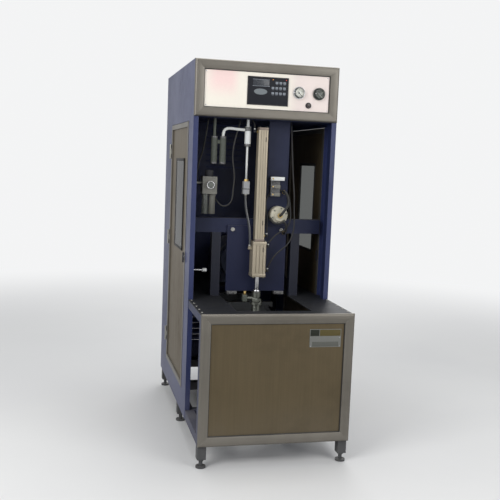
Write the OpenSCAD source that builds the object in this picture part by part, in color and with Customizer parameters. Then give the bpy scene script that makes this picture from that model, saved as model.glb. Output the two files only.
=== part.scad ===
/* [Cabinet] */
// Width of the cabinet over its side sheets
body_w = 800; // [780:1:900]
// Depth from the front of the base to the back of the rear cover
body_d = 1580; // [1560:1:1700]
// Height of the roof above the floor
body_h = 2080; // [2040:1:2200]
// Height of the underside of the chassis above the floor
chassis_z = 118; // [90:1:150]
// Height of the top of the base
base_h = 795; // [780:1:830]
// How far the header stands back from the front of the base
header_setback = 430; // [410:1:450]
// Height of the header
header_h = 300; // [280:1:320]
// Thickness of the painted cabinet sheets
sheet_t = 2; // [1.5:0.1:3]

/* [Frame tubes] */
// Side of the square chassis tube
chassis_tube = 50; // [40:1:60]
// Width of a post tube across the machine
post_w = 25; // [20:1:30]
// Depth of a post tube along the machine
post_d = 50; // [40:1:60]
// Height of the upper rails
rail_h = 40; // [30:1:50]
// Wall of every tube
tube_wall = 2.5; // [2:0.1:3]
// Side of the square columns that carry the head beam
column_w = 50; // [40:1:60]

/* [Trims and panels] */
// Width of the aluminium trims round the front panels
trim_w = 50; // [40:1:55]
// Depth of the trims
trim_d = 14; // [12:1:20]
// Radius of the trims' rounded outer edge
trim_r = 11; // [6:1:11.5]
// Width of the sloping inner part of each trim
trim_slope_w = 23; // [15:1:26]
// How far that part slopes back
trim_slope_d = 5.5; // [3:0.5:8]
// Open joint between two mitred trims
mitre_gap = 0.3; // [0.2:0.1:0.6]

/* [Header panel] */
// Width of the controller's bezel
controller_w = 228; // [200:1:250]
// Height of the controller's bezel
controller_h = 151; // [130:1:160]
// How far the controller's bezel stands off the fascia
controller_proud = 4; // [2:0.5:8]
// Depth of the controller's case behind the fascia
controller_d = 40; // [30:1:80]
// Radius of a gauge's bezel
gauge_r = 33; // [28:1:36]
// How far a gauge's bezel stands off the fascia
gauge_proud = 12; // [8:1:13]
// How far the pair of gauges stands left of the middle of its space
gauge_shift = 1; // [0:1:6]
// Distance from the first gauge to the second
gauge_pitch = 114; // [90:1:120]
// Radius of the selector's ring
selector_r = 16; // [13:0.5:18]

/* [Doors] */
// Distance from the front of the base to the door opening
door_front = 600; // [590:1:640]
// Width of the door opening along the machine
door_w = 700; // [600:1:720]
// Height of the door opening's sill
door_sill = 250; // [230:1:300]
// Height of the door opening's head
door_head = 1760; // [1650:1:1765]
// Running gap round a door
door_gap = 3; // [2:0.5:5]
// Thickness of a door
door_t = 20; // [16:1:24]
// Width of the door's aluminium edging
edging_w = 28; // [20:1:40]
// Width of the door's window
window_w = 290; // [200:1:340]
// Height of the door's window
window_h = 505; // [400:1:600]
// Height of the window's lower edge
window_z = 1035; // [1000:1:1100]
// Radius of a hinge knuckle
knuckle_r = 6; // [5:0.5:8]
// Radius of a hinge pin
pin_r = 3; // [2:0.5:3.5]

/* [Head] */
// Distance from the front of the base to the nozzle's axis
nozzle_setback = 520; // [516:1:530]
// Side of the square seal cylinder
seal_w = 79; // [74:1:95]
// Height of the seal cylinder's underside
seal_z = 910; // [900:1:930]
// Length of the seal cylinder
seal_h = 198; // [190:1:220]
// Side of the square stretch cylinder
stretch_w = 55; // [50:1:65]
// Length of the stretch cylinder
stretch_h = 630; // [620:1:650]
// Radius of the hollow seal rod
seal_rod_r = 13.5; // [12:0.5:16]
// Radius of the stretch rod
stretch_rod_r = 6; // [5:0.5:8]
// Radial running clearance of rods and pistons
running = 0.06; // [0.03:0.01:0.1]
// Upward travel of the nozzle
nozzle_travel = 60; // [40:1:70]
// Width of the blue head plate
head_plate_w = 342; // [320:1:360]
// Thickness of the head plate
head_plate_t = 12; // [10:1:14]
// Height of the head plate's lower edge
head_plate_z = 820; // [810:1:840]
// Height of the head plate's upper edge
head_plate_top = 1190; // [1180:1:1200]

/* [Clamp] */
// Width of the platens
platen_w = 380; // [340:1:390]
// Thickness of the platens
platen_t = 40; // [30:1:45]
// Travel of each platen
clamp_travel = 150; // [120:1:155]
// Distance from the front of the base to the open front platen
platen_front = 140; // [120:1:150]
// Thickness of each mould half that the clamp takes
mould_half = 190; // [180:1:195]
// Radius of a tie bar
tie_r = 20; // [16:1:24]
// Outer radius of the clamp cylinder
clamp_r = 88; // [75:1:95]
// Radius of the clamp cylinder's rod
clamp_rod_r = 28; // [22:1:34]
// Clearance between pieces that slide past each other
slide_gap = 0.4; // [0.3:0.1:0.8]
// Across spacing of the platens' mould bolts
bolt_x = 240; // [200:1:250]
// Upright spacing of the platens' mould bolts
bolt_z = 320; // [280:1:330]
// Radius of a mould bolt hole
bolt_r = 8.5; // [6:0.5:9]

/* [Feet and air] */
// Radius of a levelling foot's pad
foot_r = 26; // [22:1:27]
// Radius of a levelling foot's screw
foot_screw_r = 10; // [6:1:14]
// Side of the square socket that a foot screws into
foot_socket_w = 46; // [36:1:50]
// Radius of the air tank
tank_r = 115; // [90:1:120]
// Length of the air tank
tank_l = 430; // [350:1:440]
// How far the inlet valve reaches behind the rear cover
inlet_reach = 90; // [80:1:110]
// Radius of the inlet's threaded port
inlet_port_r = 15; // [10:0.5:16]

/* [Hidden] */
$fn = 48;

// Small shared allowances
fit = 0.3;
deep = 400;

// Places along the machine; the front faces -Y and the origin is under the middle
overall_d = body_d + inlet_reach;
front_y = -overall_d / 2;
back_y = front_y + body_d;
header_y = front_y + header_setback;
nozzle_y = front_y + nozzle_setback;
header_post_y = header_y + trim_d + sheet_t;
base_post_y = front_y + trim_d + sheet_t;
rear_post_y = back_y - sheet_t - post_d;
side_x = body_w / 2;
inner_x = side_x - sheet_t;

// Heights
chassis_top = chassis_z + chassis_tube;
roof_z = body_h - sheet_t;
header_z = body_h - header_h;
deck_t = 5;
deck_top = base_h - deck_t;
deck_z = deck_top - deck_t;
deck_rail_z = deck_z - rail_h;
deck_gap = 2;
header_floor_d = 560;
louvre_w = 260;
louvre_h = 12;
louvre_pitch = 40;

// Head
seal_top = seal_z + seal_h;
stretch_top = seal_top + stretch_h;
head_plate_y = nozzle_y + seal_w / 2;
beam_y = head_plate_y + head_plate_t;
beam_d = 60;
beam_h = 80;
beam_z = head_plate_top - beam_h / 2;
beam_top = beam_z + beam_h;
beam_x = inner_x - post_w - fit;
column_x = 205;

// Nozzle
nozzle_l = 114;
nozzle_gap = 90;
nozzle_top = seal_z - nozzle_gap;
nozzle_z = nozzle_top - nozzle_l;
nozzle_bore_r = stretch_rod_r + 3;
flange_r = 36;
seal_ring_h = 8;
seal_chamber_r = 31.5;
seal_cap = 20;
stretch_chamber_r = 20;
stretch_cap = 14;
piston_h = 20;

// Clamp
rail_bar_h = 20;
platen_z = chassis_top + rail_bar_h + slide_gap;
platen_h = 510;
clamp_z = platen_z + platen_h / 2;
tie_x = platen_w / 2 - 30;
tie_z = platen_h / 2 - 35;
platen_front_y = front_y + platen_front;
front_closed_y = platen_front_y + clamp_travel;
rear_closed_y = front_closed_y + platen_t + 2 * mould_half;
platen_rear_y = rear_closed_y + clamp_travel;
yoke_gap = 290;
yoke_y = platen_rear_y + platen_t + yoke_gap;
barrel_gap = 100;
barrel_y = platen_rear_y + platen_t + barrel_gap;
barrel_l = 2 * clamp_travel + 90;
barrel_wall = 10;
barrel_end = 20;
flange_rim = 20;
flange_t = 22;
clamp_piston_l = 35;
clamp_piston_gap = 5;
rod_plate_r = 62;
rod_plate_t = 18;
rod_bolt_circle = 45;
rod_bolt_r = 5;
rod_bolt_l = 20;
tie_nut_rim = 9;
tie_nut_h = 24;
tie_l = yoke_y + platen_t - platen_front_y;

// Door places
door_y0 = front_y + door_front;
door_y1 = door_y0 + door_w;
door_proud = 2;
door_x = side_x + door_proud - door_t;
hinge_x = side_x + knuckle_r + 1;
hinge_y = door_y1 + knuckle_r;
leaf_t = 2;
leaf_l = 30;
hinge_h = 90;
hinge_rise = 120;
hinge_zs = [door_sill + hinge_rise, (door_sill + door_head) / 2, door_head - hinge_rise - hinge_h];
window_y = (door_y0 + door_y1) / 2 - 35;
latch_z = 1000;
latch_y = door_y0 + door_gap + edging_w / 2;
latch_r = 8;
rim = 14;

// Header panel places
panel_z = header_z + header_h / 2;
fascia_y = header_y + trim_d;
gauge_mid = (controller_w / 2 + side_x - trim_w) / 2 - gauge_shift;
gauge_a_x = gauge_mid - gauge_pitch / 2;
gauge_b_x = gauge_mid + gauge_pitch / 2;
gauge_z = panel_z + 1;
gauge_stub_r = 1.5;
selector_x = gauge_mid;
selector_z = panel_z - 64;

// Air pieces
filter_side = 110;
filter_drop = 415;
silencer_side = 132;
silencer_pitch = 48;
silencer_drop = 100;
check_drop = 410;
bowl_drop = 40;
filter_x = -(side_x - filter_side);
filter_y = nozzle_y + 15;
filter_z = header_z - filter_drop;
filter_w = 80;
filter_d = 72;
filter_h = 95;
filter_bowl_r = 17;
filter_bowl_h = 110;
filter_bowl_pitch = 40;
filter_arm_w = 30;
filter_arm_h = 10;
filter_arm_drop = 30;
dial_r = 20;
dial_l = 20;
dial_z = 50;
knob_r = 22;
knob_h = 34;
knob_stem_r = 10;
knob_stem_h = 18;
panel_x0 = 50;
panel_x1 = 170;
valve_panel_t = 4;
valve_panel_y = beam_y - valve_panel_t;
valve_x = 60;
valve_z = 1360;
valve_pitch = 44;
valve_block_t = 16;
valve_block_w = 54;
valve_inset = 6;
valve_rim = 3;
valve_h = 18;
valve_l = 52;
long_valve_l = 76;
valve_reach = 50;
blow_x = 112;
blow_z = 1256;
blow_r = 50;
blow_t = 50;
blow_boss_r = 30;
blow_boss_t = 22;
silencer_xs = [-(side_x - silencer_side), -(side_x - silencer_side - silencer_pitch)];
silencer_y = nozzle_y + 10;
silencer_top = header_z - silencer_drop;
silencer_h = 150;
silencer_r = 17;
silencer_stay_t = 8;
silencer_stay_h = 20;
line_pipe_r = 8;
thin_pipe_r = 6;
silencer_z = silencer_top - silencer_h;
blow_line_x = -82;
check_valve_z = header_z - check_drop;
check_valve_h = 70;
check_valve_w = 34;
bowl_r = 17;
bowl_h = 108;
bowl_z = header_z - bowl_drop - bowl_h;
seal_port_z = 1062;
tank_gap = 130;
tank_y = back_y - tank_gap - tank_l;
tank_z = deck_top + tank_r + 30;
inlet_x = 250;
inlet_z = 900;

// A block between two corners
module block(a, b) {
    translate(a) cube(b - a);
}

// A rectangular tube between two corners, open along its long axis
module tube(a, b, axis) {
    w = tube_wall;
    low = [for (i = [0:2]) i == axis ? a[i] - 1 : a[i] + w];
    high = [for (i = [0:2]) i == axis ? b[i] + 1 : b[i] - w];
    difference() {
        block(a, b);
        block(low, high);
    }
}

// A cylinder along Y that starts at a point
module rod_y(p, r, l) {
    translate(p) rotate([-90, 0, 0]) cylinder(r = r, h = l);
}

// A cylinder along X that starts at a point
module rod_x(p, r, l) {
    translate(p) rotate([0, 90, 0]) cylinder(r = r, h = l);
}

// Its children on the left and on the right
module both_sides() {
    children();
    mirror([1, 0, 0]) children();
}

module frame_posts() color("midnightblue") {
    both_sides() {
        x0 = inner_x - post_w;
        tube([x0, header_post_y, chassis_top], [inner_x, header_post_y + post_d, roof_z], 2);
        tube([x0, rear_post_y, chassis_top], [inner_x, rear_post_y + post_d, roof_z], 2);
        tube([x0, base_post_y, chassis_top], [inner_x, base_post_y + post_d, deck_z], 2);
        tube([column_x, beam_y, deck_top], [column_x + column_w, beam_y + column_w, beam_z], 2);
    }
}

module frame_side_rails() color("midnightblue") {
    x0 = inner_x - post_w;
    chassis_x = inner_x - chassis_tube;
    both_sides() {
        tube([chassis_x, base_post_y, chassis_z], [inner_x, back_y - sheet_t, chassis_top], 1);
        tube([x0, base_post_y + post_d, deck_rail_z], [inner_x, fascia_y, deck_z], 1);
        tube([x0 - post_w, header_post_y, deck_rail_z], [x0, back_y - sheet_t, deck_z], 1);
        tube([x0, header_post_y + post_d, roof_z - rail_h], [inner_x, rear_post_y, roof_z], 1);
    }
}

module frame_cross_rails() color("midnightblue") {
    low_x = inner_x - chassis_tube;
    high_x = inner_x - post_w;
    ys = [base_post_y, header_post_y, (header_post_y + rear_post_y) / 2, back_y - sheet_t - chassis_tube];
    for (y = ys)
        tube([-low_x, y, chassis_z], [low_x, y + chassis_tube, chassis_top], 0);
    tube([-high_x, base_post_y, deck_rail_z], [high_x, base_post_y + post_w, deck_z], 0);
    tube([-high_x, header_post_y, header_z], [high_x, header_post_y + post_w, header_z + rail_h], 0);
    tube([-high_x, header_post_y, roof_z - rail_h], [high_x, header_post_y + post_w, roof_z], 0);
    rear_y = rear_post_y + post_d - post_w;
    tube([-high_x + post_w, rear_y, deck_rail_z], [high_x - post_w, rear_y + post_w, deck_z], 0);
    tube([-high_x, rear_y, roof_z - rail_h], [high_x, rear_y + post_w, roof_z], 0);
}

// One folded side sheet with its front flange and the rim of its door opening
module side_sheet() color("royalblue") {
    front = fascia_y;
    difference() {
        union() {
            block([inner_x, front, chassis_z], [side_x, back_y - sheet_t, body_h]);
            block([inner_x - post_w, front, chassis_top + 1], [side_x, front + sheet_t, roof_z]);
            block([inner_x - rim, door_y0 - sheet_t, door_sill - sheet_t],
                  [side_x, door_y1 + sheet_t, door_head + sheet_t]);
        }
        block([inner_x - deep, door_y0, door_sill], [side_x + 1, door_y1, door_head]);
    }
}

module left_side_panel() mirror([1, 0, 0]) side_sheet();

module right_side_panel() side_sheet();

module roof_panel() color("royalblue")
    block([-inner_x, header_y + trim_d, roof_z], [inner_x, back_y - sheet_t, body_h]);

// Places of the rear cover's louvres: their middle and the foot of each slot
louvre_x = 170;
louvre_rise = 182;
louvre_drop = 280;
louvres = concat([for (i = [0:5], x = [-louvre_x, louvre_x])
                      [x, chassis_z + louvre_rise + louvre_pitch * i]],
                 [for (i = [0:7]) [0, header_z - louvre_drop + louvre_pitch * i]]);

// The slot of one louvre
module louvre_slot(p)
    block([p[0] - louvre_w / 2, back_y - 10, p[1]], [p[0] + louvre_w / 2, back_y + 10, p[1] + louvre_h]);

// The hood that a louvre is pressed out to: a sloping sheet with closed ends, open below
module louvre_hood(p) {
    reach = 13;
    top = louvre_h + 7;
    hood_w = louvre_w + 2 * sheet_t;
    translate([p[0] - hood_w / 2, back_y, p[1]]) rotate([90, 0, 90]) {
        linear_extrude(hood_w)
            polygon([[-0.5, top - sheet_t], [-0.5, top], [0, top], [reach, 2], [reach, -2],
                     [reach - sheet_t, -2], [reach - sheet_t, 1], [0, top - sheet_t]]);
        for (x = [0, hood_w - sheet_t])
            translate([0, 0, x]) linear_extrude(sheet_t)
                polygon([[-0.5, -2], [-0.5, top], [0, top], [reach, 2], [reach, -2]]);
    }
}

module rear_cover() color("royalblue") {
    difference() {
        block([-side_x, back_y - sheet_t, chassis_z], [side_x, back_y, body_h]);
        for (p = louvres)
            louvre_slot(p);
        rod_y([inlet_x, back_y - 10, inlet_z], 20 + fit, 20);
    }
    for (p = louvres)
        louvre_hood(p);
}

module header_floor() color("royalblue") {
    half = inner_x - post_w - fit;
    hole = stretch_w / 2 + 6;
    difference() {
        block([-half, fascia_y, header_z - sheet_t], [half, header_post_y + header_floor_d, header_z]);
        block([-hole, nozzle_y - hole, header_z - sheet_t - 1], [hole, nozzle_y + hole, header_z + 1]);
    }
}

// Section of a trim, its rounded outer edge at the origin and its face towards -Y
module trim_section() difference() {
    square([trim_w, trim_d]);
    difference() {
        translate([-1, -1]) square(trim_r + 1);
        translate([trim_r, trim_r]) circle(r = trim_r);
    }
    polygon([[trim_w - trim_slope_w, 0], [trim_w + 1, trim_slope_d * (trim_slope_w + 1) / trim_slope_w],
             [trim_w + 1, -1], [trim_w - trim_slope_w, -1]]);
}

// A trim along +Z with mitred ends, its outer edge on X = 0
module trim_bar(length) {
    g = mitre_gap / 2;
    intersection() {
        linear_extrude(length) trim_section();
        translate([0, trim_d + 1, 0]) rotate([90, 0, 0]) linear_extrude(trim_d + 2)
            polygon([[-1, g - 1], [trim_w + 1, trim_w + g + 1], [trim_w + 1, length - trim_w - g - 1],
                     [-1, length - g + 1]]);
    }
}

// The two upright trims of a front frame
module side_trims(y, z, height) color("silver")
    both_sides() translate([-side_x, y, z]) trim_bar(height);

// The two level trims of a front frame
module cross_trims(y, z, height) color("silver") {
    translate([side_x, y, z]) rotate([0, -90, 0]) trim_bar(body_w);
    translate([-side_x, y, z + height]) rotate([0, 90, 0]) trim_bar(body_w);
}

module header_side_trims() side_trims(header_y, header_z, header_h);

module header_cross_trims() cross_trims(header_y, header_z, header_h);

module fascia() color("ivory") {
    half = inner_x - post_w - fit;
    difference() {
        block([-half, fascia_y, header_z], [half, fascia_y + sheet_t, roof_z]);
        block([-controller_w / 2 + 8, fascia_y - 5, panel_z - controller_h / 2 + 8],
              [controller_w / 2 - 8, fascia_y + 5, panel_z + controller_h / 2 - 8]);
        for (x = [gauge_a_x, gauge_b_x])
            rod_y([x, fascia_y - 5, gauge_z], gauge_r - 6 + fit, 10);
        rod_y([selector_x, fascia_y - 5, selector_z], selector_r - 4 + fit, 10);
    }
}

module controller() color("black") {
    lip = 8 + fit;
    difference() {
        union() {
            block([-controller_w / 2, fascia_y - controller_proud, panel_z - controller_h / 2],
                  [controller_w / 2, fascia_y, panel_z + controller_h / 2]);
            block([-controller_w / 2 + lip, fascia_y - 1, panel_z - controller_h / 2 + lip],
                  [controller_w / 2 - lip, fascia_y + controller_d, panel_z + controller_h / 2 - lip]);
        }
        block([-controller_w / 2 + 6, fascia_y - controller_proud - 1, panel_z - controller_h / 2 + 6],
              [controller_w / 2 - 6, fascia_y - controller_proud + 1, panel_z + controller_h / 2 - 6]);
    }
}

// A round pressure gauge with a hollow front, its dial and a stub for the pointer
module gauge(x) {
    dial_y = fascia_y - gauge_proud + 7;
    translate([x, 0, gauge_z]) {
        difference() {
            union() {
                rod_y([0, fascia_y - gauge_proud, 0], gauge_r, gauge_proud);
                rod_y([0, fascia_y - 1, 0], gauge_r - 6, 30);
                rod_y([0, fascia_y + 28, 0], 7, 22);
            }
            rod_y([0, fascia_y - gauge_proud - 1, 0], gauge_r - 3, 8);
        }
        rod_y([0, dial_y - 4, 0], gauge_stub_r, 5);
    }
}

// A gauge's pointer on its stub, pointing at the low end of the scale
module pointer(x) {
    dial_y = fascia_y - gauge_proud + 7;
    translate([x, dial_y - 3, gauge_z]) rotate([0, 135, 0]) difference() {
        union() {
            rod_y([0, 0, 0], 4, 1.5);
            block([-0.9, 0, -9], [0.9, 1, gauge_r - 8]);
        }
        rod_y([0, -1, 0], gauge_stub_r + running, 4);
    }
}

module low_gauge() color("silver") gauge(gauge_a_x);

module low_gauge_pointer() color("black") pointer(gauge_a_x);

module high_gauge() color("dimgray") gauge(gauge_b_x);

module high_gauge_pointer() color("red") pointer(gauge_b_x);

module selector_ring() color("gray") translate([selector_x, 0, selector_z]) difference() {
    union() {
        rod_y([0, fascia_y - 5, 0], selector_r, 5);
        rod_y([0, fascia_y - 1, 0], selector_r - 4, 35);
    }
    rod_y([0, fascia_y - 6, 0], selector_r - 5, 24);
}

module selector_knob() color("black") translate([selector_x, 0, selector_z]) {
    rod_y([0, fascia_y - 11, 0], selector_r - 5 - running, 28);
    block([-3.5, fascia_y - 14, -(selector_r - 5)], [3.5, fascia_y - 10, selector_r - 5]);
}

module base_side_trims() side_trims(front_y, chassis_z, base_h - chassis_z);

module base_cross_trims() cross_trims(front_y, chassis_z, base_h - chassis_z);

module base_panel() color("tan")
    block([-side_x + 1, front_y + trim_d, chassis_z + 1], [side_x - 1, base_post_y, base_h - 1]);

// A levelling foot: pad, screw, lock nut and the square socket under the chassis tube
module foot() {
    pad_h = 10;
    socket_z = 46;
    half = foot_socket_w / 2;
    cylinder(r = foot_r, h = pad_h);
    translate([0, 0, pad_h - 1]) cylinder(r = foot_screw_r, h = socket_z - pad_h + 2);
    translate([0, 0, socket_z - 9]) cylinder(r = foot_screw_r + 7, h = 9, $fn = 6);
    block([-half, -half, socket_z], [half, half, chassis_z]);
}

module levelling_feet() color("darkslategray") {
    xs = inner_x - chassis_tube / 2;
    front_inset = 30;
    middle_inset = 330;
    rear_inset = 60;
    for (y = [base_post_y + front_inset, header_post_y + middle_inset, back_y - rear_inset])
        both_sides() translate([xs, y, 0]) foot();
}

// A door on the right, built closed; the left one is its mirror image
module door_panel() color("tan") {
    y0 = door_y0 + door_gap + edging_w - 8;
    y1 = door_y1 - door_gap - edging_w + 8;
    z0 = door_sill + door_gap + edging_w - 8;
    z1 = door_head - door_gap - edging_w + 8;
    difference() {
        block([door_x + 8 + fit, y0 + fit, z0 + fit], [door_x + 12 - fit, y1 - fit, z1 - fit]);
        block([door_x, window_y - window_w / 2, window_z],
              [side_x + 9, window_y + window_w / 2, window_z + window_h]);
        rod_x([door_x - 1, latch_y, latch_z], latch_r + 1, door_t + 2);
    }
}

// Edging frame with a groove that holds the panel
module door_edging() color("silver") {
    y0 = door_y0 + door_gap;
    y1 = door_y1 - door_gap;
    z0 = door_sill + door_gap;
    z1 = door_head - door_gap;
    w = edging_w;
    difference() {
        block([door_x, y0, z0], [door_x + door_t, y1, z1]);
        block([door_x - 1, y0 + w, z0 + w], [door_x + door_t + 1, y1 - w, z1 - w]);
        block([door_x + 8, y0 + w - 8, z0 + w - 8], [door_x + 12, y1 - w + 8, z1 - w + 8]);
        rod_x([door_x - 1, latch_y, latch_z], latch_r + running, door_t + 2);
    }
}

module door_window() color("lightblue", 0.4)
    block([door_x + 12 - fit, window_y - window_w / 2 - 14, window_z - 14],
          [door_x + 16 - fit, window_y + window_w / 2 + 14, window_z + window_h + 14]);

// Three moving leaves, each with a middle knuckle, screwed on the door's face
module door_leaves() color("silver") for (z = hinge_zs) {
    third = hinge_h / 3;
    difference() {
        union() {
            translate([hinge_x, hinge_y, z + third + fit]) cylinder(r = knuckle_r, h = third - 2 * fit);
            block([side_x + door_proud, hinge_y - leaf_l - knuckle_r, z + third + fit],
                  [side_x + door_proud + leaf_t, hinge_y, z + 2 * third - fit]);
        }
        translate([hinge_x, hinge_y, z]) cylinder(r = pin_r + running, h = hinge_h);
    }
}

// Three fixed leaves with their pins, screwed on the side sheet
module frame_leaves() color("silver") for (z = hinge_zs) {
    third = hinge_h / 3;
    for (k = [0, 2])
        translate([hinge_x, hinge_y, z + k * third]) cylinder(r = knuckle_r, h = third);
    translate([hinge_x, hinge_y, z]) cylinder(r = pin_r, h = hinge_h);
    difference() {
        block([side_x, hinge_y, z], [side_x + leaf_t, hinge_y + leaf_l, z + hinge_h]);
        block([side_x - 1, hinge_y - 1, z + third - fit],
              [side_x + 9, hinge_y + knuckle_r + 2, z + 2 * third + fit]);
    }
}

// A quarter-turn latch with its tongue upright, clear of the sheet that it locks behind
module latch() color("dimgray") {
    rod_x([door_x - 4, latch_y, latch_z], latch_r, door_t + 4);
    rod_x([door_x + door_t, latch_y, latch_z], 14, 4);
    block([door_x + door_t + 3, latch_y - 5, latch_z - 28],
          [hinge_x + knuckle_r, latch_y + 5, latch_z + 28]);
    block([door_x - 7, latch_y - 10, latch_z - 10], [door_x - 3, latch_y + 10, latch_z + 52]);
}

module left_door_panel() mirror([1, 0, 0]) door_panel();

module left_door_edging() mirror([1, 0, 0]) door_edging();

module left_door_window() mirror([1, 0, 0]) door_window();

module left_door_leaves() mirror([1, 0, 0]) door_leaves();

module left_frame_leaves() mirror([1, 0, 0]) frame_leaves();

module left_latch() mirror([1, 0, 0]) latch();

module right_door_panel() door_panel();

module right_door_edging() door_edging();

module right_door_window() door_window();

module right_door_leaves() door_leaves();

module right_frame_leaves() frame_leaves();

module right_latch() latch();

module deck_plate() color("darkkhaki") {
    half = inner_x - fit;
    notch_x = inner_x - post_w - fit;
    door_side = door_x - deck_gap;
    bay = platen_w / 2 + 10;
    difference() {
        block([-half, base_post_y, deck_z], [half, back_y - sheet_t, deck_top]);
        block([-bay, platen_front_y - 30, deck_z - 1], [bay, platen_rear_y + platen_t + 20, deck_top + 1]);
        both_sides() {
            block([notch_x, fascia_y - fit, deck_z - 1],
                  [side_x, header_post_y + post_d + fit, deck_top + 1]);
            block([notch_x, rear_post_y - fit, deck_z - 1], [side_x, back_y, deck_top + 1]);
            block([door_side, door_y0 - sheet_t - fit, deck_z - 1],
                  [side_x, door_y1 + sheet_t + fit, deck_top + 1]);
        }
    }
}

module head_beam() color("dimgray")
    tube([-beam_x, beam_y, beam_z], [beam_x, beam_y + beam_d, beam_top], 0);

module head_plate() color("royalblue") {
    half = head_plate_w / 2;
    difference() {
        block([-half, head_plate_y, head_plate_z], [half, beam_y, head_plate_top]);
        for (x = [-half + 30, half - 30], z = [head_plate_top - 22])
            rod_y([x, head_plate_y - 1, z], 5.5, head_plate_t + 2);
    }
}

// A square profile barrel with rounded corners and three grooves on each face
module profile(w, groove) {
    r = w / 9;
    difference() {
        union() {
            square([w - 2 * r, w], center = true);
            square([w, w - 2 * r], center = true);
            for (x = [-1, 1], y = [-1, 1])
                translate([x * (w / 2 - r), y * (w / 2 - r)]) circle(r = r, $fn = 24);
        }
        for (a = [0:90:270], k = [-1, 0, 1])
            rotate(a) translate([k * w / 4, w / 2]) square([groove, groove * 1.6], center = true);
    }
}

module seal_cylinder() color("wheat") translate([0, nozzle_y, 0]) difference() {
    union() {
        translate([0, 0, seal_z]) linear_extrude(seal_cap) profile(seal_w, 1.2);
        translate([0, 0, seal_z + seal_cap]) linear_extrude(seal_h - 2 * seal_cap) profile(seal_w, 5);
        translate([0, 0, seal_top - seal_cap]) linear_extrude(seal_cap) profile(seal_w, 1.2);
        block([-seal_w / 2 - 18, -9, seal_port_z], [-seal_w / 2 + 1, 9, seal_port_z + 16]);
    }
    translate([0, 0, seal_z + seal_cap]) cylinder(r = seal_chamber_r, h = seal_h - 2 * seal_cap);
    translate([0, 0, seal_z - 1]) cylinder(r = seal_rod_r + running, h = seal_cap + 2);
    translate([0, 0, seal_top - seal_cap - 1]) cylinder(r = stretch_rod_r + running, h = seal_cap + 2);
}

module seal_rod() color("gainsboro") translate([0, nozzle_y, 0]) difference() {
    piston_z = seal_z + seal_cap + 5;
    union() {
        translate([0, 0, nozzle_top]) cylinder(r = seal_rod_r, h = piston_z + piston_h - nozzle_top);
        translate([0, 0, piston_z]) cylinder(r = seal_chamber_r - running, h = piston_h);
    }
    translate([0, 0, nozzle_top - 1]) cylinder(r = nozzle_bore_r, h = piston_z + piston_h - nozzle_top + 2);
}

module nozzle() color("darkgray") translate([0, nozzle_y, 0]) difference() {
    union() {
        translate([0, 0, nozzle_top - 26]) cylinder(r = 25, h = 26);
        translate([0, 0, nozzle_z + 20]) cylinder(r = 19, h = nozzle_top - nozzle_z - 40);
        translate([0, 0, nozzle_z + 44]) cylinder(r = flange_r, h = 13);
        translate([0, 0, nozzle_z]) cylinder(r = 25, h = 44);
        for (a = [45:90:315])
            rotate(a) translate([flange_r - 7, 0, nozzle_z + 56]) cylinder(r = 5, h = 8, $fn = 6);
        rod_x([-58, 0, nozzle_z + 78], 11, 50);
    }
    translate([0, 0, nozzle_z - 1]) cylinder(r = nozzle_bore_r, h = nozzle_top - nozzle_z + 2);
    rod_x([-60, 0, nozzle_z + 78], 6, 50);
}

module nozzle_seal() color("firebrick") translate([0, nozzle_y, nozzle_z - seal_ring_h]) difference() {
    cylinder(r = 22, h = seal_ring_h);
    translate([0, 0, -1]) cylinder(r = nozzle_bore_r + 3, h = seal_ring_h + 2);
}

module stretch_cylinder() color("wheat") translate([0, nozzle_y, 0]) difference() {
    union() {
        for (z = [seal_top, stretch_top - stretch_cap])
            translate([0, 0, z]) linear_extrude(stretch_cap) profile(stretch_w, 0.8);
        translate([0, 0, seal_top + stretch_cap]) linear_extrude(stretch_h - 2 * stretch_cap)
            profile(stretch_w, 4);
    }
    translate([0, 0, seal_top + stretch_cap])
        cylinder(r = stretch_chamber_r, h = stretch_h - 2 * stretch_cap);
    translate([0, 0, seal_top - 1]) cylinder(r = stretch_rod_r + running, h = stretch_cap + 2);
}

module stretch_rod() color("silver") translate([0, nozzle_y, 0]) {
    piston_z = stretch_top - stretch_cap - piston_h - 4;
    tip_z = nozzle_z + stretch_rod_r;
    translate([0, 0, tip_z]) cylinder(r = stretch_rod_r, h = piston_z - tip_z + 1);
    translate([0, 0, tip_z]) sphere(r = stretch_rod_r, $fn = 24);
    translate([0, 0, piston_z]) cylinder(r = stretch_chamber_r - running, h = piston_h);
}

module slide_rails() color("gray") both_sides()
    block([tie_x - 45, base_post_y + 2, chassis_top],
          [tie_x - 10, back_y - sheet_t - 2, chassis_top + rail_bar_h]);

// A platen with four tie bar holes of one radius and four mould bolt holes
module platen(y, hole_r) difference() {
    block([-platen_w / 2, y, platen_z], [platen_w / 2, y + platen_t, platen_z + platen_h]);
    for (x = [-tie_x, tie_x], z = [-tie_z, tie_z])
        rod_y([x, y - 1, clamp_z + z], hole_r, platen_t + 2);
    for (x = [-bolt_x / 2, bolt_x / 2], z = [-bolt_z / 2, bolt_z / 2])
        rod_y([x, y - 1, clamp_z + z], bolt_r, platen_t + 2);
}

module front_platen() color("slategray") platen(platen_front_y, tie_r);

module rear_platen() color("slategray") difference() {
    platen(platen_rear_y, tie_r + slide_gap);
    for (a = [0:60:300])
        rod_y([rod_bolt_circle * cos(a), platen_rear_y + platen_t - rod_bolt_l,
               clamp_z + rod_bolt_circle * sin(a)], rod_bolt_r, rod_bolt_l + 1);
}

module tie_bars() color("gainsboro")
    for (x = [-tie_x, tie_x], z = [-tie_z, tie_z]) {
        rod_y([x, platen_front_y - tie_nut_h, clamp_z + z], tie_r, tie_l + 2 * tie_nut_h);
        for (y = [platen_front_y - tie_nut_h, yoke_y + platen_t])
            translate([x, y, clamp_z + z]) rotate([-90, 0, 0])
                cylinder(r = tie_r + tie_nut_rim, h = tie_nut_h, $fn = 6);
    }

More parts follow.
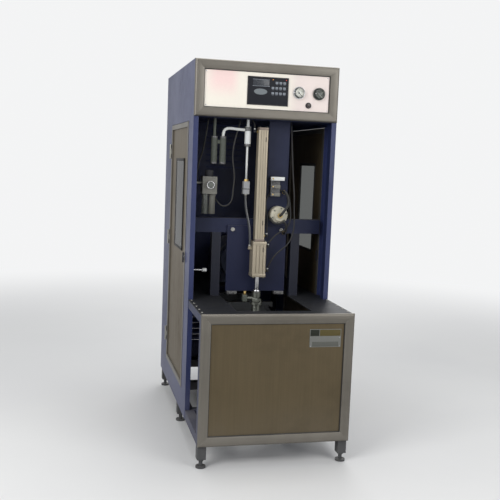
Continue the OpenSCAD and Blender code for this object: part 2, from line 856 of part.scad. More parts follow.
module yoke_plate() color("slategray") difference() {
    block([-platen_w / 2, yoke_y, platen_z], [platen_w / 2, yoke_y + platen_t, platen_z + platen_h]);
    for (x = [-tie_x, tie_x], z = [-tie_z, tie_z])
        rod_y([x, yoke_y - 1, clamp_z + z], tie_r, platen_t + 2);
    rod_y([0, yoke_y - 1, clamp_z], clamp_r, platen_t + 2);
}

module clamp_cylinder() color("lightsteelblue") translate([0, 0, clamp_z]) difference() {
    union() {
        rod_y([0, barrel_y, 0], clamp_r, barrel_l);
        rod_y([0, yoke_y - flange_t, 0], clamp_r + flange_rim, flange_t);
    }
    rod_y([0, barrel_y + barrel_end, 0], clamp_r - barrel_wall, barrel_l - 2 * barrel_end);
    rod_y([0, barrel_y - 1, 0], clamp_rod_r + running, barrel_end + 2);
}

module clamp_rod() color("gainsboro") translate([0, 0, clamp_z]) {
    piston_y = barrel_y + barrel_l - barrel_end - clamp_piston_l - clamp_piston_gap;
    rod_y([0, platen_rear_y + platen_t, 0], clamp_rod_r, piston_y - platen_rear_y - platen_t + 1);
    rod_y([0, platen_rear_y + platen_t, 0], rod_plate_r, rod_plate_t);
    rod_y([0, piston_y, 0], clamp_r - barrel_wall - running, clamp_piston_l);
}

// Filter and regulator in one unit on an arm from the left side sheet
module filter_regulator() color("gainsboro") {
    top = filter_z + filter_h;
    difference() {
        union() {
            block([filter_x - filter_w / 2, filter_y - filter_d / 2, filter_z],
                  [filter_x + filter_w / 2, filter_y + filter_d / 2, top]);
            for (x = [-filter_bowl_pitch / 2, filter_bowl_pitch / 2])
                translate([filter_x + x, filter_y, filter_z - filter_bowl_h])
                    cylinder(r = filter_bowl_r, h = filter_bowl_h + 1);
            block([-inner_x, filter_y - filter_arm_w / 2, top - filter_arm_drop - filter_arm_h],
                  [filter_x - filter_w / 2 + 1, filter_y + filter_arm_w / 2, top - filter_arm_drop]);
            rod_y([filter_x, filter_y - filter_d / 2 - dial_l, filter_z + dial_z], dial_r, dial_l + 1);
        }
        translate([filter_x, filter_y, top - knob_stem_h - 2])
            cylinder(r = knob_stem_r + running, h = knob_stem_h + 3);
    }
}

module regulator_knob() color("black") translate([filter_x, filter_y, filter_z + filter_h]) {
    translate([0, 0, 0.5]) cylinder(r = knob_r, h = knob_h);
    translate([0, 0, -knob_stem_h]) cylinder(r = knob_stem_r, h = knob_stem_h + 1);
}

// Two silencers: the outer one hangs on its pipe, the inner one on a stay from it
module silencers() color("darkseagreen") {
    for (x = silencer_xs)
        translate([x, silencer_y, silencer_z]) cylinder(r = silencer_r, h = silencer_h);
    translate([silencer_xs[0], silencer_y, silencer_top - 1])
        cylinder(r = line_pipe_r, h = header_z - sheet_t - silencer_top + 1);
    block([silencer_xs[0], silencer_y - silencer_stay_t / 2, silencer_top - 2 * silencer_stay_h],
          [silencer_xs[1], silencer_y + silencer_stay_t / 2, silencer_top - silencer_stay_h]);
}

// The blow air's drop line: a filter bowl, a thin pipe and a check valve
module blow_line() color("white") translate([blow_line_x, silencer_y, 0]) {
    pipe_z = check_valve_z + check_valve_h - 1;
    translate([0, 0, bowl_z]) cylinder(r = bowl_r, h = bowl_h);
    translate([0, 0, bowl_z + bowl_h - 1])
        cylinder(r = line_pipe_r, h = header_z - sheet_t - bowl_z - bowl_h + 1);
    translate([0, 0, pipe_z]) cylinder(r = thin_pipe_r, h = bowl_z - pipe_z + 1);
    block([-check_valve_w / 2, -check_valve_w / 2, check_valve_z],
          [check_valve_w / 2, check_valve_w / 2, check_valve_z + check_valve_h]);
}

module valve_panel() color("royalblue")
    block([panel_x0, valve_panel_y, head_plate_top + fit], [panel_x1, beam_y, header_z - sheet_t]);

// An upright valve block with three valves lying across it, the top one longer
module valve_manifold() color("silver") {
    y1 = valve_panel_y;
    block([valve_x + valve_inset, y1 - valve_block_t, valve_z],
          [valve_x + valve_inset + valve_block_w, y1, valve_z + 2 * valve_pitch + valve_h + 2 * valve_rim]);
    for (i = [0:2])
        block([valve_x, y1 - valve_reach, valve_z + valve_rim + valve_pitch * i],
              [valve_x + (i == 2 ? long_valve_l : valve_l), y1 - valve_block_t + 1,
               valve_z + valve_rim + valve_pitch * i + valve_h]);
}

module blow_valve() color("antiquewhite") translate([blow_x, 0, blow_z]) {
    rod_y([0, valve_panel_y - blow_t, 0], blow_r, blow_t);
    rod_y([0, valve_panel_y - blow_t - blow_boss_t, 0], blow_boss_r, blow_boss_t + 1);
}

// Points of one cubic curve between two ends with their handles, straight at both ends
function route(a, b, c, d, n) = let (s = 3, a1 = a + s * unit(b - a), d1 = d + s * unit(c - d))
    concat([a], bezier(a1, b, c, d1, n), [d]);

// Points of one cubic curve between two ends with their handles
function bezier(a, b, c, d, n) = [
    for (i = [0:n]) let (t = i / n, s = 1 - t)
        s * s * s * a + 3 * s * s * t * b + 3 * s * t * t * c + t * t * t * d
];

function unit(v) = v / norm(v);

// Direction of a path at one of its points
function along(p, i) =
    unit(p[min(i + 1, len(p) - 1)] - p[max(i - 1, 0)]);

// A round hose swept along a path that never runs along Y
module hose(path, r, sides) {
    rings = len(path);
    points = [
        for (i = [0:rings - 1]) let (t = along(path, i), u = unit(cross(t, [0, 1, 0])), v = cross(u, t))
            for (k = [0:sides - 1]) let (a = 360 * k / sides)
                path[i] + r * (cos(a) * u + sin(a) * v)
    ];
    walls = [
        for (i = [0:rings - 2], k = [0:sides - 1]) let (m = (k + 1) % sides)
            [i * sides + k, i * sides + m, (i + 1) * sides + m, (i + 1) * sides + k]
    ];
    first = [for (k = [0:sides - 1]) sides - 1 - k];
    last = [for (k = [0:sides - 1]) (rings - 1) * sides + k];
    polyhedron(points = points, faces = concat(walls, [first, last]), convexity = 4);
}

// One hose from the drop line's bowl over to the silencer, one from the check valve to the seal cylinder
module air_hoses() color("gainsboro") {
    y = silencer_y;
    bowl_side = blow_line_x - bowl_r - fit;
    branch_z = bowl_z + bowl_h - 18;
    port_x = -seal_w / 2 - 9;
    port_top = seal_port_z + 16;
    level = 80;
    arch = 66;
    fall = 130;
    rise = 164;
    hose(route([bowl_side, y, branch_z], [bowl_side - level, y, branch_z],
               [silencer_xs[1], y, silencer_top + arch], [silencer_xs[1], y, silencer_top], 14), 8, 12);
    hose(route([blow_line_x, y, check_valve_z], [blow_line_x, y, check_valve_z - fall],
               [port_x, nozzle_y, port_top + rise], [port_x, nozzle_y, port_top], 14), 7, 12);
}

module air_tank() color("steelblue") {
    saddle = 40;
    difference() {
        union() {
            rod_y([0, tank_y, tank_z], tank_r, tank_l);
            for (y = [tank_y + 50, tank_y + tank_l - 50 - saddle])
                block([-tank_r + 15, y, deck_top], [tank_r - 15, y + saddle, tank_z - 30]);
        }
        rod_y([0, tank_y + 6, tank_z], tank_r - 6, tank_l - 12);
    }
}

module inlet_valve() color("goldenrod") translate([inlet_x, 0, inlet_z]) difference() {
    union() {
        rod_y([0, back_y - 30, 0], 20, 32);
        translate([0, back_y, 0]) rotate([-90, 0, 0]) cylinder(r = 29, h = 18, $fn = 6);
        rod_y([0, back_y + 17, 0], 24, 50);
        translate([0, back_y + 64, 0]) rotate([-90, 0, 0]) cylinder(r = 26, h = inlet_reach - 64, $fn = 6);
        translate([0, back_y + 42, 0]) cylinder(r = 7, h = 34);
    }
    rod_y([0, back_y + inlet_reach - 22, 0], inlet_port_r, 23);
    rod_y([0, back_y - 31, 0], 10, 60);
}

frame_posts();
frame_side_rails();
frame_cross_rails();
left_side_panel();
right_side_panel();
roof_panel();
rear_cover();
header_floor();
header_side_trims();
header_cross_trims();
fascia();
controller();
low_gauge();
low_gauge_pointer();
high_gauge();
high_gauge_pointer();
selector_ring();
selector_knob();
base_side_trims();
base_cross_trims();
base_panel();
levelling_feet();
left_door_panel();
left_door_edging();
left_door_window();
left_door_leaves();
left_frame_leaves();
left_latch();
right_door_panel();
right_door_edging();
right_door_window();
right_door_leaves();
right_frame_leaves();
right_latch();
deck_plate();
head_beam();
head_plate();
seal_cylinder();
seal_rod();
nozzle();
nozzle_seal();
stretch_cylinder();
stretch_rod();
slide_rails();
front_platen();
rear_platen();
tie_bars();
yoke_plate();
clamp_cylinder();
clamp_rod();
filter_regulator();
regulator_knob();
silencers();
blow_line();
valve_panel();
valve_manifold();
blow_valve();
air_hoses();
air_tank();
inlet_valve();
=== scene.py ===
"""Looks of a blow moulding machine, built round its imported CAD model."""

import logging
import math
from dataclasses import dataclass, replace
from enum import Enum
from functools import partial, reduce
from typing import Callable, Iterator, Sequence

import bmesh
import bpy
from mathutils import Matrix, Vector


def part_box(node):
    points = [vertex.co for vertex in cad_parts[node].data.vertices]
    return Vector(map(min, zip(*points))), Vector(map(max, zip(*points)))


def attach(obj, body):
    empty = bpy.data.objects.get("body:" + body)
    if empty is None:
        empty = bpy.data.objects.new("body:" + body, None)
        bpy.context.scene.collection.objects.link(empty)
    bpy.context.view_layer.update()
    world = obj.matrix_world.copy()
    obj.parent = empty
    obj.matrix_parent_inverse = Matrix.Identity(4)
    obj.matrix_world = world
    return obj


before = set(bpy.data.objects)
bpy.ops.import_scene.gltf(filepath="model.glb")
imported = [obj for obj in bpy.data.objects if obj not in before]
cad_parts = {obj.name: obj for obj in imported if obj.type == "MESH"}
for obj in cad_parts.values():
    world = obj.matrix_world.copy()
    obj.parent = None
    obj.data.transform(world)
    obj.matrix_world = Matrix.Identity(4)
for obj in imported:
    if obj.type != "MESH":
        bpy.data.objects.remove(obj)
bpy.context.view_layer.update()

log = logging.getLogger("blow_moulding_machine")
logging.basicConfig(level=logging.INFO, format="%(message)s")

Colour = tuple[float, float, float]
Point = Sequence[float]
Profile = Sequence[tuple[float, float]]
Socket = bpy.types.NodeSocket
Node = bpy.types.Node

X_AXIS, Y_AXIS, Z_AXIS = Vector((1, 0, 0)), Vector((0, 1, 0)), Vector((0, 0, 1))
FRONT = -Y_AXIS
HERE = Matrix()
MERGE = 1e-6


class Side(Enum):
    """Which side of the machine a piece is on, seen from the front."""

    LEFT = -1
    RIGHT = 1

    @property
    def word(self) -> str:
        """The side's name in lower case."""
        return self.name.lower()


def low(node: str) -> Vector:
    """Lowest corner of a CAD node at rest."""
    return Vector(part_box(node)[0])


def high(node: str) -> Vector:
    """Highest corner of a CAD node at rest."""
    return Vector(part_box(node)[1])


def corners(node: str) -> tuple[Vector, Vector]:
    """Lowest and highest corner of a CAD node at rest."""
    return low(node), high(node)


def middle(node: str) -> Vector:
    """Centre of a CAD node's box at rest."""
    return (low(node) + high(node)) / 2


def placed(name: str, data: bpy.types.ID) -> bpy.types.Object:
    """Makes an object and adds it to the scene.

    Args:
        name: The object's name.
        data: Its mesh, lamp or camera.

    Returns:
        The new object.
    """
    made = bpy.data.objects.new(name, data)
    bpy.context.scene.collection.objects.link(made)
    return made


class Graph:
    """A small front for a shader node tree."""

    def __init__(self, tree: bpy.types.NodeTree) -> None:
        """Keeps the tree that nodes are added to."""
        self.tree = tree

    def add(self, kind: str, **settings: object) -> Node:
        """Adds a node and sets its properties.

        Args:
            kind: The node's type without the ShaderNode prefix.
            settings: Properties of the node.

        Returns:
            The new node.
        """
        node = self.tree.nodes.new("ShaderNode" + kind)
        for name, value in settings.items():
            setattr(node, name, value)
        return node

    def feed(self, value: object, target: Socket) -> None:
        """Links an output to an input, or sets a plain value or colour on it.

        Args:
            value: The output, number, colour or vector.
            target: The input.
        """
        if isinstance(value, Socket):
            self.tree.links.new(value, target)
        else:
            target.default_value = (*value, 1.0) if target.type == "RGBA" else value

    def fill(self, node: Node, *first: object, **named: object) -> Node:
        """Feeds a node's inputs.

        Args:
            node: The node.
            first: What its first inputs get, in their order.
            named: What other inputs get, by their names with _ for a space.

        Returns:
            The node itself.
        """
        for value, target in zip(first, node.inputs):
            self.feed(value, target)
        for name, value in named.items():
            self.feed(value, node.inputs[name.replace("_", " ")])
        return node

    def maths(self, operation: str, a: object, b: object) -> Socket:
        """Works out a Blender operation on two sockets or numbers."""
        return self.fill(self.add("Math", operation=operation), a, b).outputs[0]

    def vector(self, operation: str, *values: object) -> Node:
        """Adds a vector operation on sockets or vectors."""
        return self.fill(self.add("VectorMath", operation=operation), *values)

    def product(self, *values: object) -> Socket:
        """Multiplies sockets and numbers."""
        return reduce(partial(self.maths, "MULTIPLY"), values)

    def total(self, *values: object) -> Socket:
        """Adds up sockets and numbers."""
        return reduce(partial(self.maths, "ADD"), values)

    def span(self, value: object, start: float, end: float, to_start: float = 0.0,
             to_end: float = 1.0) -> Socket:
        """Maps a value smoothly from the range start to end to the range to_start to to_end."""
        node = self.add("MapRange", interpolation_type="SMOOTHSTEP")
        return self.fill(node, value, start, end, to_start, to_end).outputs[0]

    def blend(self, factor: object, a: object, b: object) -> Socket:
        """Mixes two colours.

        Args:
            factor: Share of the second colour.
            a: First colour or socket.
            b: Second colour or socket.

        Returns:
            The mixed colour.
        """
        node = self.fill(self.add("Mix", data_type="RGBA"), factor)
        self.feed(a, node.inputs[6])
        self.feed(b, node.inputs[7])
        return node.outputs[2]

    def coords(self) -> Socket:
        """Gives Object coordinates."""
        return self.add("TexCoord").outputs["Object"]

    def axis(self, vector: Socket, letter: str) -> Socket:
        """Gives one component of a vector."""
        return self.fill(self.add("SeparateXYZ"), Vector=vector).outputs[letter]

    def noise(self, scale: float, detail: float, stretch: Point = (1, 1, 1)) -> Socket:
        """Reads noise of so many cells in a metre at Object coordinates times a stretch."""
        place = self.vector("MULTIPLY", self.coords(), stretch).outputs[0]
        return self.fill(self.add("TexNoise"), Vector=place, Scale=scale, Detail=detail).outputs["Fac"]

    def seen(self) -> Socket:
        """Finds the rays that see the backdrop.

        Returns:
            1 for camera, glossy and transmission rays.
        """
        rays = self.add("LightPath").outputs
        beyond = self.maths("MAXIMUM", rays["Is Glossy Ray"], rays["Is Transmission Ray"])
        return self.maths("MAXIMUM", rays["Is Camera Ray"], beyond)

    def mix(self, factor: Socket, a: Node, b: Node) -> Socket:
        """Mixes a share of a second shader into a first one."""
        return self.fill(self.add("MixShader"), factor, a.outputs[0], b.outputs[0]).outputs[0]


GROUPS: dict[str, bpy.types.NodeTree] = {}
MATERIALS: dict[str, bpy.types.Material] = {}


@dataclass(frozen=True)
class Effect:
    """A shader group that several finishes share, built the first time that it is placed."""

    name: str
    wire: Callable[[Graph, Node], dict[str, Socket]]

    def place(self, g: Graph, **values: float) -> bpy.types.bpy_prop_collection:
        """Places the group in a material with its own values.

        Args:
            g: The material's graph.
            values: What each of the group's inputs is in this material.

        Returns:
            The placed group's outputs.
        """
        if self.name not in GROUPS:
            tree = bpy.data.node_groups.new(self.name, "ShaderNodeTree")
            for key in values:
                tree.interface.new_socket(key, in_out="INPUT", socket_type="NodeSocketFloat")
            results = self.wire(Graph(tree), tree.nodes.new("NodeGroupInput"))
            for key in results:
                tree.interface.new_socket(key, in_out="OUTPUT", socket_type="NodeSocketFloat")
            Graph(tree).fill(tree.nodes.new("NodeGroupOutput"), **results)
            GROUPS[self.name] = tree
        return g.fill(g.add("Group", node_tree=GROUPS[self.name]), **values).outputs


def patina_wiring(g: Graph, given: Node) -> dict[str, Socket]:
    """Makes broad clouds of handling and age, with finer blotches in them.

    Args:
        g: The group's graph.
        given: The group's input node.

    Returns:
        The group's results by name.
    """
    broad = g.span(g.noise(2.3, 4), 0.38, 0.66)
    fine = g.span(g.noise(17.0, 5), 0.3, 0.75, 0.35, 1.0)
    return {"Mask": g.product(broad, fine, given.outputs["Amount"])}


def dust_wiring(g: Graph, given: Node) -> dict[str, Socket]:
    """Makes dust that settles on upward faces and near the floor.

    Args:
        g: The group's graph.
        given: The group's input node.

    Returns:
        The group's results by name.
    """
    settled = g.span(g.axis(g.add("NewGeometry").outputs["Normal"], "Z"), 0.55, 0.98)
    splash = g.span(g.axis(g.coords(), "Z"), 0.42, 0.05, 0.0, 0.55)
    speckle = g.span(g.noise(7.0, 9), 0.2, 0.8, 0.45, 1.0)
    return {"Mask": g.product(g.maths("MAXIMUM", settled, splash), speckle, given.outputs["Amount"])}


def rub_wiring(g: Graph, given: Node) -> dict[str, Socket]:
    """Finds edges, where a rounded normal leaves the true one, and breaks them up by noise.

    Args:
        g: The group's graph.
        given: The group's input node.

    Returns:
        The group's results by name.
    """
    soft = g.fill(g.add("Bevel", samples=3), given.outputs["Radius"]).outputs["Normal"]
    dot = g.vector("DOT_PRODUCT", soft, g.add("NewGeometry").outputs["True Normal"])
    edge = g.span(dot.outputs["Value"], 0.98, 0.8)
    broken = g.span(g.noise(60.0, 5), 0.42, 0.62)
    return {"Mask": g.product(edge, broken, given.outputs["Amount"])}


PATINA = Effect("patina", patina_wiring)
DUST = Effect("dust", dust_wiring)
RUB = Effect("rub", rub_wiring)


class Grain(Enum):
    """How far a grain is stretched along X, Y and Z; a small number is a long streak."""

    ALONG_X = (0.02, 1.0, 1.0)
    ALONG_Z = (1.0, 1.0, 0.02)
    EVEN = (1.0, 1.0, 1.0)

    def wire(self, g: Graph, given: Node) -> dict[str, Socket]:
        """Makes fine streaks along one direction, as height and as a mask.

        Args:
            g: The group's graph.
            given: The group's input node.

        Returns:
            The group's results by name.
        """
        fine = g.noise(1400.0 if self is Grain.EVEN else 900.0, 2, self.value)
        wide = g.noise(160.0, 3, self.value)
        return {"Height": g.product(fine, given.outputs["Amount"]), "Mask": g.span(wide, 0.3, 0.7)}

    @property
    def effect(self) -> Effect:
        """The grain's shader group."""
        return Effect("grain_" + self.name.lower(), self.wire)


@dataclass(frozen=True)
class Wash:
    """A second colour that comes in over a stretch of one or more axes."""

    colour: Colour
    share: float
    stretches: tuple[tuple[str, float, float], ...]

    def over(self, g: Graph, colour: Socket) -> Socket:
        """Lays the wash over a colour.

        Args:
            g: The material's graph.
            colour: What is under the wash.

        Returns:
            The washed colour.
        """
        masks = [g.span(g.axis(g.coords(), letter), start, end) for letter, start, end in self.stretches]
        return g.blend(g.product(self.share, *masks), colour, self.colour)


@dataclass(frozen=True)
class Look:
    """What every finish has: a name, a colour and one material that is wired once."""

    name: str
    colour: Colour

    def build(self) -> bpy.types.Material:
        """Wires the material the first time that it is asked for.

        Returns:
            The material.
        """
        if self.name not in MATERIALS:
            material = bpy.data.materials.new("look_" + self.name)
            material.use_nodes = True
            MATERIALS[self.name] = material
            self.shade(Graph(material.node_tree), material.node_tree.nodes["Principled BSDF"])
        return MATERIALS[self.name]

    def shade(self, g: Graph, shader: Node) -> None:
        """Wires the shader; each kind of finish does it its own way."""
        raise NotImplementedError

    def darker(self, factor: float) -> Colour:
        """The colour times a factor."""
        return tuple(part * factor for part in self.colour)


@dataclass(frozen=True)
class Finish(Look):
    """A surface finish with its wear.

    The base colour drifts towards a second colour in clouds, dust lies on top, and the rubbed edges show
    what is underneath.
    """

    drift: Colour
    roughness: float
    metallic: float = 0.0
    grain: Grain = Grain.EVEN
    grain_height: float = 0.0002
    grain_tone: float = 0.12
    patina: float = 0.8
    dust: float = 0.35
    dust_colour: Colour = (0.46, 0.43, 0.38)
    rub: float = 0.0
    rub_colour: Colour = (0.55, 0.55, 0.55)
    rub_radius: float = 0.002
    coat: float = 0.0
    specular: float = 0.5
    bump: float = 0.6
    patina_rough: float = 0.12
    grain_rough: float = 0.08
    dust_rough: float = 0.35
    washes: tuple[Wash, ...] = ()

    def shade(self, g: Graph, shader: Node) -> None:
        """Wires the finish into the material's shader.

        Args:
            g: The material's graph.
            shader: The Principled shader.
        """
        patina = PATINA.place(g, Amount=self.patina)["Mask"]
        dust = DUST.place(g, Amount=self.dust)["Mask"]
        grain = self.grain.effect.place(g, Amount=1.0)
        colour = g.blend(patina, self.colour, self.drift)
        for wash in self.washes:
            colour = wash.over(g, colour)
        tone = g.total(g.product(grain["Mask"], self.grain_tone), 1 - self.grain_tone / 2)
        colour = g.fill(g.add("HueSaturation"), Color=colour, Value=tone).outputs["Color"]
        if self.rub > 0:
            worn = RUB.place(g, Radius=self.rub_radius, Amount=self.rub)["Mask"]
            colour = g.blend(worn, colour, self.rub_colour)
        rough = g.total(g.product(patina, self.patina_rough), self.roughness,
                        g.product(grain["Mask"], self.grain_rough), g.product(dust, self.dust_rough))
        bump = g.fill(g.add("Bump"), Strength=self.bump, Distance=self.grain_height, Height=grain["Height"])
        g.fill(shader, Base_Color=g.blend(dust, colour, self.dust_colour), Roughness=rough,
               Metallic=self.metallic, Coat_Weight=self.coat, Specular_IOR_Level=self.specular,
               Normal=bump.outputs["Normal"])


@dataclass(frozen=True)
class Clear(Look):
    """A see-through finish for windows, lenses and bowls."""

    roughness: float
    transmission: float
    index: float
    dust: float = 0.2
    dust_colour: Colour = (0.3, 0.3, 0.28)
    smear_rough: float = 0.3

    def shade(self, g: Graph, shader: Node) -> None:
        """Wires the clear finish: smears on its roughness and a little dust.

        Args:
            g: The material's graph.
            shader: The Principled shader.
        """
        dust = DUST.place(g, Amount=self.dust)["Mask"]
        smear = PATINA.place(g, Amount=1.0)["Mask"]
        rough = g.total(g.product(smear, self.smear_rough * self.roughness), self.roughness)
        g.fill(shader, Base_Color=g.blend(dust, self.colour, self.dust_colour), Roughness=rough,
               Transmission_Weight=self.transmission, IOR=self.index)


@dataclass(frozen=True)
class Glow(Look):
    """A lit lamp."""

    strength: float
    smear: float = 0.5
    smeared: float = 0.7
    smeared_glow: float = 0.8

    def shade(self, g: Graph, shader: Node) -> None:
        """Wires the lamp's colour and glow.

        Args:
            g: The material's graph.
            shader: The Principled shader.
        """
        smear = PATINA.place(g, Amount=self.smear)["Mask"]
        g.fill(shader, Base_Color=g.blend(smear, self.colour, self.darker(self.smeared)),
               Emission_Color=g.blend(smear, self.colour, self.darker(self.smeared_glow)),
               Emission_Strength=self.strength)


# Pink at the fascia's upper left, and a greyer pink at its right end
FASCIA_PINK = Wash((0.86, 0.58, 0.57), 0.7, (("X", -0.37, -0.27), ("X", -0.14, -0.21), ("Z", 1.86, 1.98)))
FASCIA_GREY = Wash((0.73, 0.62, 0.585), 0.85, (("X", 0.09, 0.18),))
# Painted shade: the frame's paint turns darker behind the front posts, where the bay lies in shade
BAY_PAINTED_SHADE = Wash((0.003, 0.004, 0.009), 0.85, (("Y", -0.33, -0.29),))
# The blow line is greyer at its lower end, and the lower hose is smoky
LINE_GREY = Wash((0.24, 0.245, 0.25), 1.0, (("Z", 1.55, 1.44),))
HOSE_SMOKE = Wash((0.035, 0.037, 0.04), 1.0, (("Z", 1.50, 1.45),))

BLUE = Finish("blue_paint", (0.022, 0.031, 0.098), (0.015, 0.022, 0.070), 0.42, grain_height=0.00012,
              grain_tone=0.06, dust=0.20, rub=0.5, rub_colour=(0.20, 0.21, 0.26), coat=0.06, specular=0.38)
# Painted shade: the frame is a darker copy of the blue paint, for posts and rails that stand in shade
SHADED_FRAME_BLUE = Finish("frame_paint", (0.010, 0.015, 0.050), (0.007, 0.011, 0.037), 0.48, dust=0.25, rub=0.6,
                    rub_colour=(0.18, 0.19, 0.22), specular=0.35, washes=(BAY_PAINTED_SHADE,))
# Painted shade: a still darker copy of the blue paint for the head plate, deep in the shaded bay
SHADED_HEAD_BLUE = Finish("head_paint_shaded", (0.007, 0.010, 0.034), (0.005, 0.008, 0.026), 0.46, dust=0.15, rub=0.5,
                   rub_colour=(0.16, 0.17, 0.20), specular=0.25)
# Painted shade: the darkest copy of the blue paint, for the header floor, head beam and valve panel inside
# the shaded bay
SHADED_NAVY = Finish("navy_paint_shaded", (0.009, 0.013, 0.040), (0.007, 0.010, 0.030), 0.52, dust=0.15, rub=0.4,
              rub_colour=(0.12, 0.13, 0.15), specular=0.3)
TRIM_Z = Finish("trim_upright", (0.152, 0.141, 0.122), (0.124, 0.113, 0.096), 0.40, 0.85, Grain.ALONG_Z,
                dust=0.25, rub=0.3)
TRIM_X = replace(TRIM_Z, name="trim_level", grain=Grain.ALONG_X)
CHAMPAGNE = Finish("champagne_panel", (0.102, 0.078, 0.043), (0.080, 0.061, 0.034), 0.38, 0.7, Grain.ALONG_Z,
                   grain_tone=0.10, dust=0.15)
DOOR_SKIN = Finish("door_skin", (0.100, 0.077, 0.044), (0.080, 0.061, 0.035), 0.46, 0.7, Grain.ALONG_Z,
                   grain_tone=0.08, dust=0.15)
IVORY = Finish("fascia_film", (0.84, 0.79, 0.69), (0.80, 0.75, 0.66), 0.35, grain_height=0.00005,
               grain_tone=0.02, dust=0.1, coat=0.2, washes=(FASCIA_PINK, FASCIA_GREY))
BLACK = Finish("black_moulding", (0.010, 0.010, 0.013), (0.016, 0.016, 0.019), 0.45, dust=0.08, specular=0.3)
MEMBRANE = Finish("membrane", (0.008, 0.009, 0.013), (0.011, 0.012, 0.016), 0.5, grain_tone=0.02, dust=0.04,
                  specular=0.2)
KEY = Finish("key_print", (0.22, 0.24, 0.27), (0.18, 0.20, 0.23), 0.45, grain_tone=0.03, dust=0.05)
LCD = Finish("lcd_window", (0.018, 0.022, 0.030), (0.014, 0.018, 0.025), 0.2, grain_tone=0.02, dust=0.04,
             coat=0.1)
PAD = Finish("oval_pad", (0.140, 0.160, 0.170), (0.115, 0.132, 0.142), 0.42, grain_tone=0.03, dust=0.05)
CHROME = Finish("chrome", (0.50, 0.50, 0.51), (0.40, 0.40, 0.41), 0.16, 1.0, grain_tone=0.03,
                grain_height=0.00003, dust=0.15)
STEEL = Finish("turned_steel", (0.150, 0.156, 0.136), (0.110, 0.116, 0.101), 0.34, 0.95, dust=0.2, rub=0.3)
ZINC = Finish("zinc_plate", (0.30, 0.295, 0.275), (0.24, 0.235, 0.205), 0.42, 0.85, dust=0.2)
DARK_DIAL = Finish("dark_gauge", (0.040, 0.046, 0.042), (0.030, 0.036, 0.032), 0.42, dust=0.1)
DIAL = Finish("dial_face", (0.76, 0.73, 0.68), (0.70, 0.67, 0.61), 0.5, grain_tone=0.02, dust=0.05)
DIAL_GREY = Finish("dial_face_grey", (0.095, 0.102, 0.092), (0.078, 0.085, 0.076), 0.5, grain_tone=0.02,
                   dust=0.05)
MARK = Finish("dial_mark", (0.02, 0.02, 0.02), (0.03, 0.03, 0.03), 0.5, dust=0.0)
MARK_PALE = Finish("dial_mark_pale", (0.52, 0.52, 0.48), (0.45, 0.45, 0.41), 0.5, dust=0.0)
BROWN = Finish("brown_knob", (0.022, 0.012, 0.010), (0.032, 0.019, 0.015), 0.4, dust=0.06, coat=0.1)
FOOT = Finish("foot_paint", (0.010, 0.013, 0.020), (0.018, 0.020, 0.024), 0.55, dust=0.22, rub=0.5,
              rub_colour=(0.16, 0.16, 0.16))
DECK = Finish("deck_plate", (0.008, 0.009, 0.012), (0.006, 0.007, 0.009), 0.50, 0.0, Grain.ALONG_X,
              dust=0.012, rub=0.5, rub_colour=(0.26, 0.26, 0.24), specular=0.2)
BARREL = Finish("barrel", (0.355, 0.308, 0.232), (0.305, 0.266, 0.202), 0.34, 0.5, Grain.ALONG_Z,
                grain_tone=0.10, dust=0.10)
BARREL_CAP = Finish("barrel_cap", (0.200, 0.160, 0.135), (0.165, 0.132, 0.112), 0.42, 0.4, dust=0.15)
RED_RUBBER = Finish("red_seal", (0.26, 0.035, 0.028), (0.19, 0.028, 0.024), 0.6, dust=0.1)
RUBBER = Finish("black_rubber", (0.012, 0.012, 0.012), (0.020, 0.019, 0.018), 0.65, dust=0.2)
PLATEN = Finish("platen_steel", (0.110, 0.115, 0.120), (0.080, 0.082, 0.085), 0.38, 0.9, Grain.ALONG_X,
                rub=0.5)
SLATE = Finish("slate_paint", (0.040, 0.052, 0.095), (0.032, 0.041, 0.072), 0.42, dust=0.25, rub=0.4)
CREAM = Finish("cream_casting", (0.46, 0.43, 0.34), (0.38, 0.355, 0.28), 0.5, grain_height=0.0006, dust=0.2,
               rub=0.3)
PALE = Finish("pale_moulding", (0.152, 0.149, 0.130), (0.119, 0.116, 0.101), 0.45, dust=0.15)
GREY_GREEN = Finish("grey_green", (0.066, 0.074, 0.060), (0.050, 0.056, 0.045), 0.6, grain_height=0.0012,
                    grain_tone=0.25, dust=0.2)
ALLOY = Finish("valve_alloy", (0.130, 0.130, 0.132), (0.102, 0.102, 0.104), 0.42, 0.7, dust=0.12)
MILKY = Finish("milky_hose", (0.64, 0.65, 0.63), (0.55, 0.56, 0.54), 0.25, grain_tone=0.03, dust=0.2,
               coat=0.3)
HOSES = replace(MILKY, name="air_hoses", washes=(HOSE_SMOKE,))
BLOW_LINE = replace(MILKY, name="blow_line_tube", colour=(0.60, 0.61, 0.60), drift=(0.50, 0.51, 0.50),
                    washes=(LINE_GREY,))
BRASS = Finish("brass", (0.46, 0.33, 0.13), (0.35, 0.25, 0.11), 0.34, 1.0, rub=0.3)
PLATE_PALE = Finish("plate_pale", (0.140, 0.142, 0.130), (0.115, 0.117, 0.106), 0.42, dust=0.1,
                    grain_tone=0.03)
PLATE_GREY = Finish("plate_grey", (0.075, 0.077, 0.066), (0.060, 0.062, 0.053), 0.42, dust=0.1)
PLATE_DARK = Finish("plate_dark", (0.009, 0.011, 0.006), (0.012, 0.014, 0.008), 0.45, dust=0.05,
                    specular=0.25)
PLATE_OLIVE = Finish("plate_olive", (0.074, 0.056, 0.012), (0.060, 0.046, 0.010), 0.45, dust=0.05,
                     specular=0.35)
SMOKED = Clear("smoked_acrylic", (0.135, 0.140, 0.136), 0.015, 1.0, 1.06, dust=0.04)
LENS = Clear("gauge_lens", (0.96, 0.98, 0.97), 0.02, 1.0, 1.3)
BOWL = Clear("clear_bowl", (0.62, 0.66, 0.64), 0.10, 0.9, 1.4)
LAMP_RED = Glow("lamp_red", (0.75, 0.06, 0.04), 1.0)
LAMP_AMBER = Glow("lamp_amber", (0.80, 0.34, 0.05), 0.8)

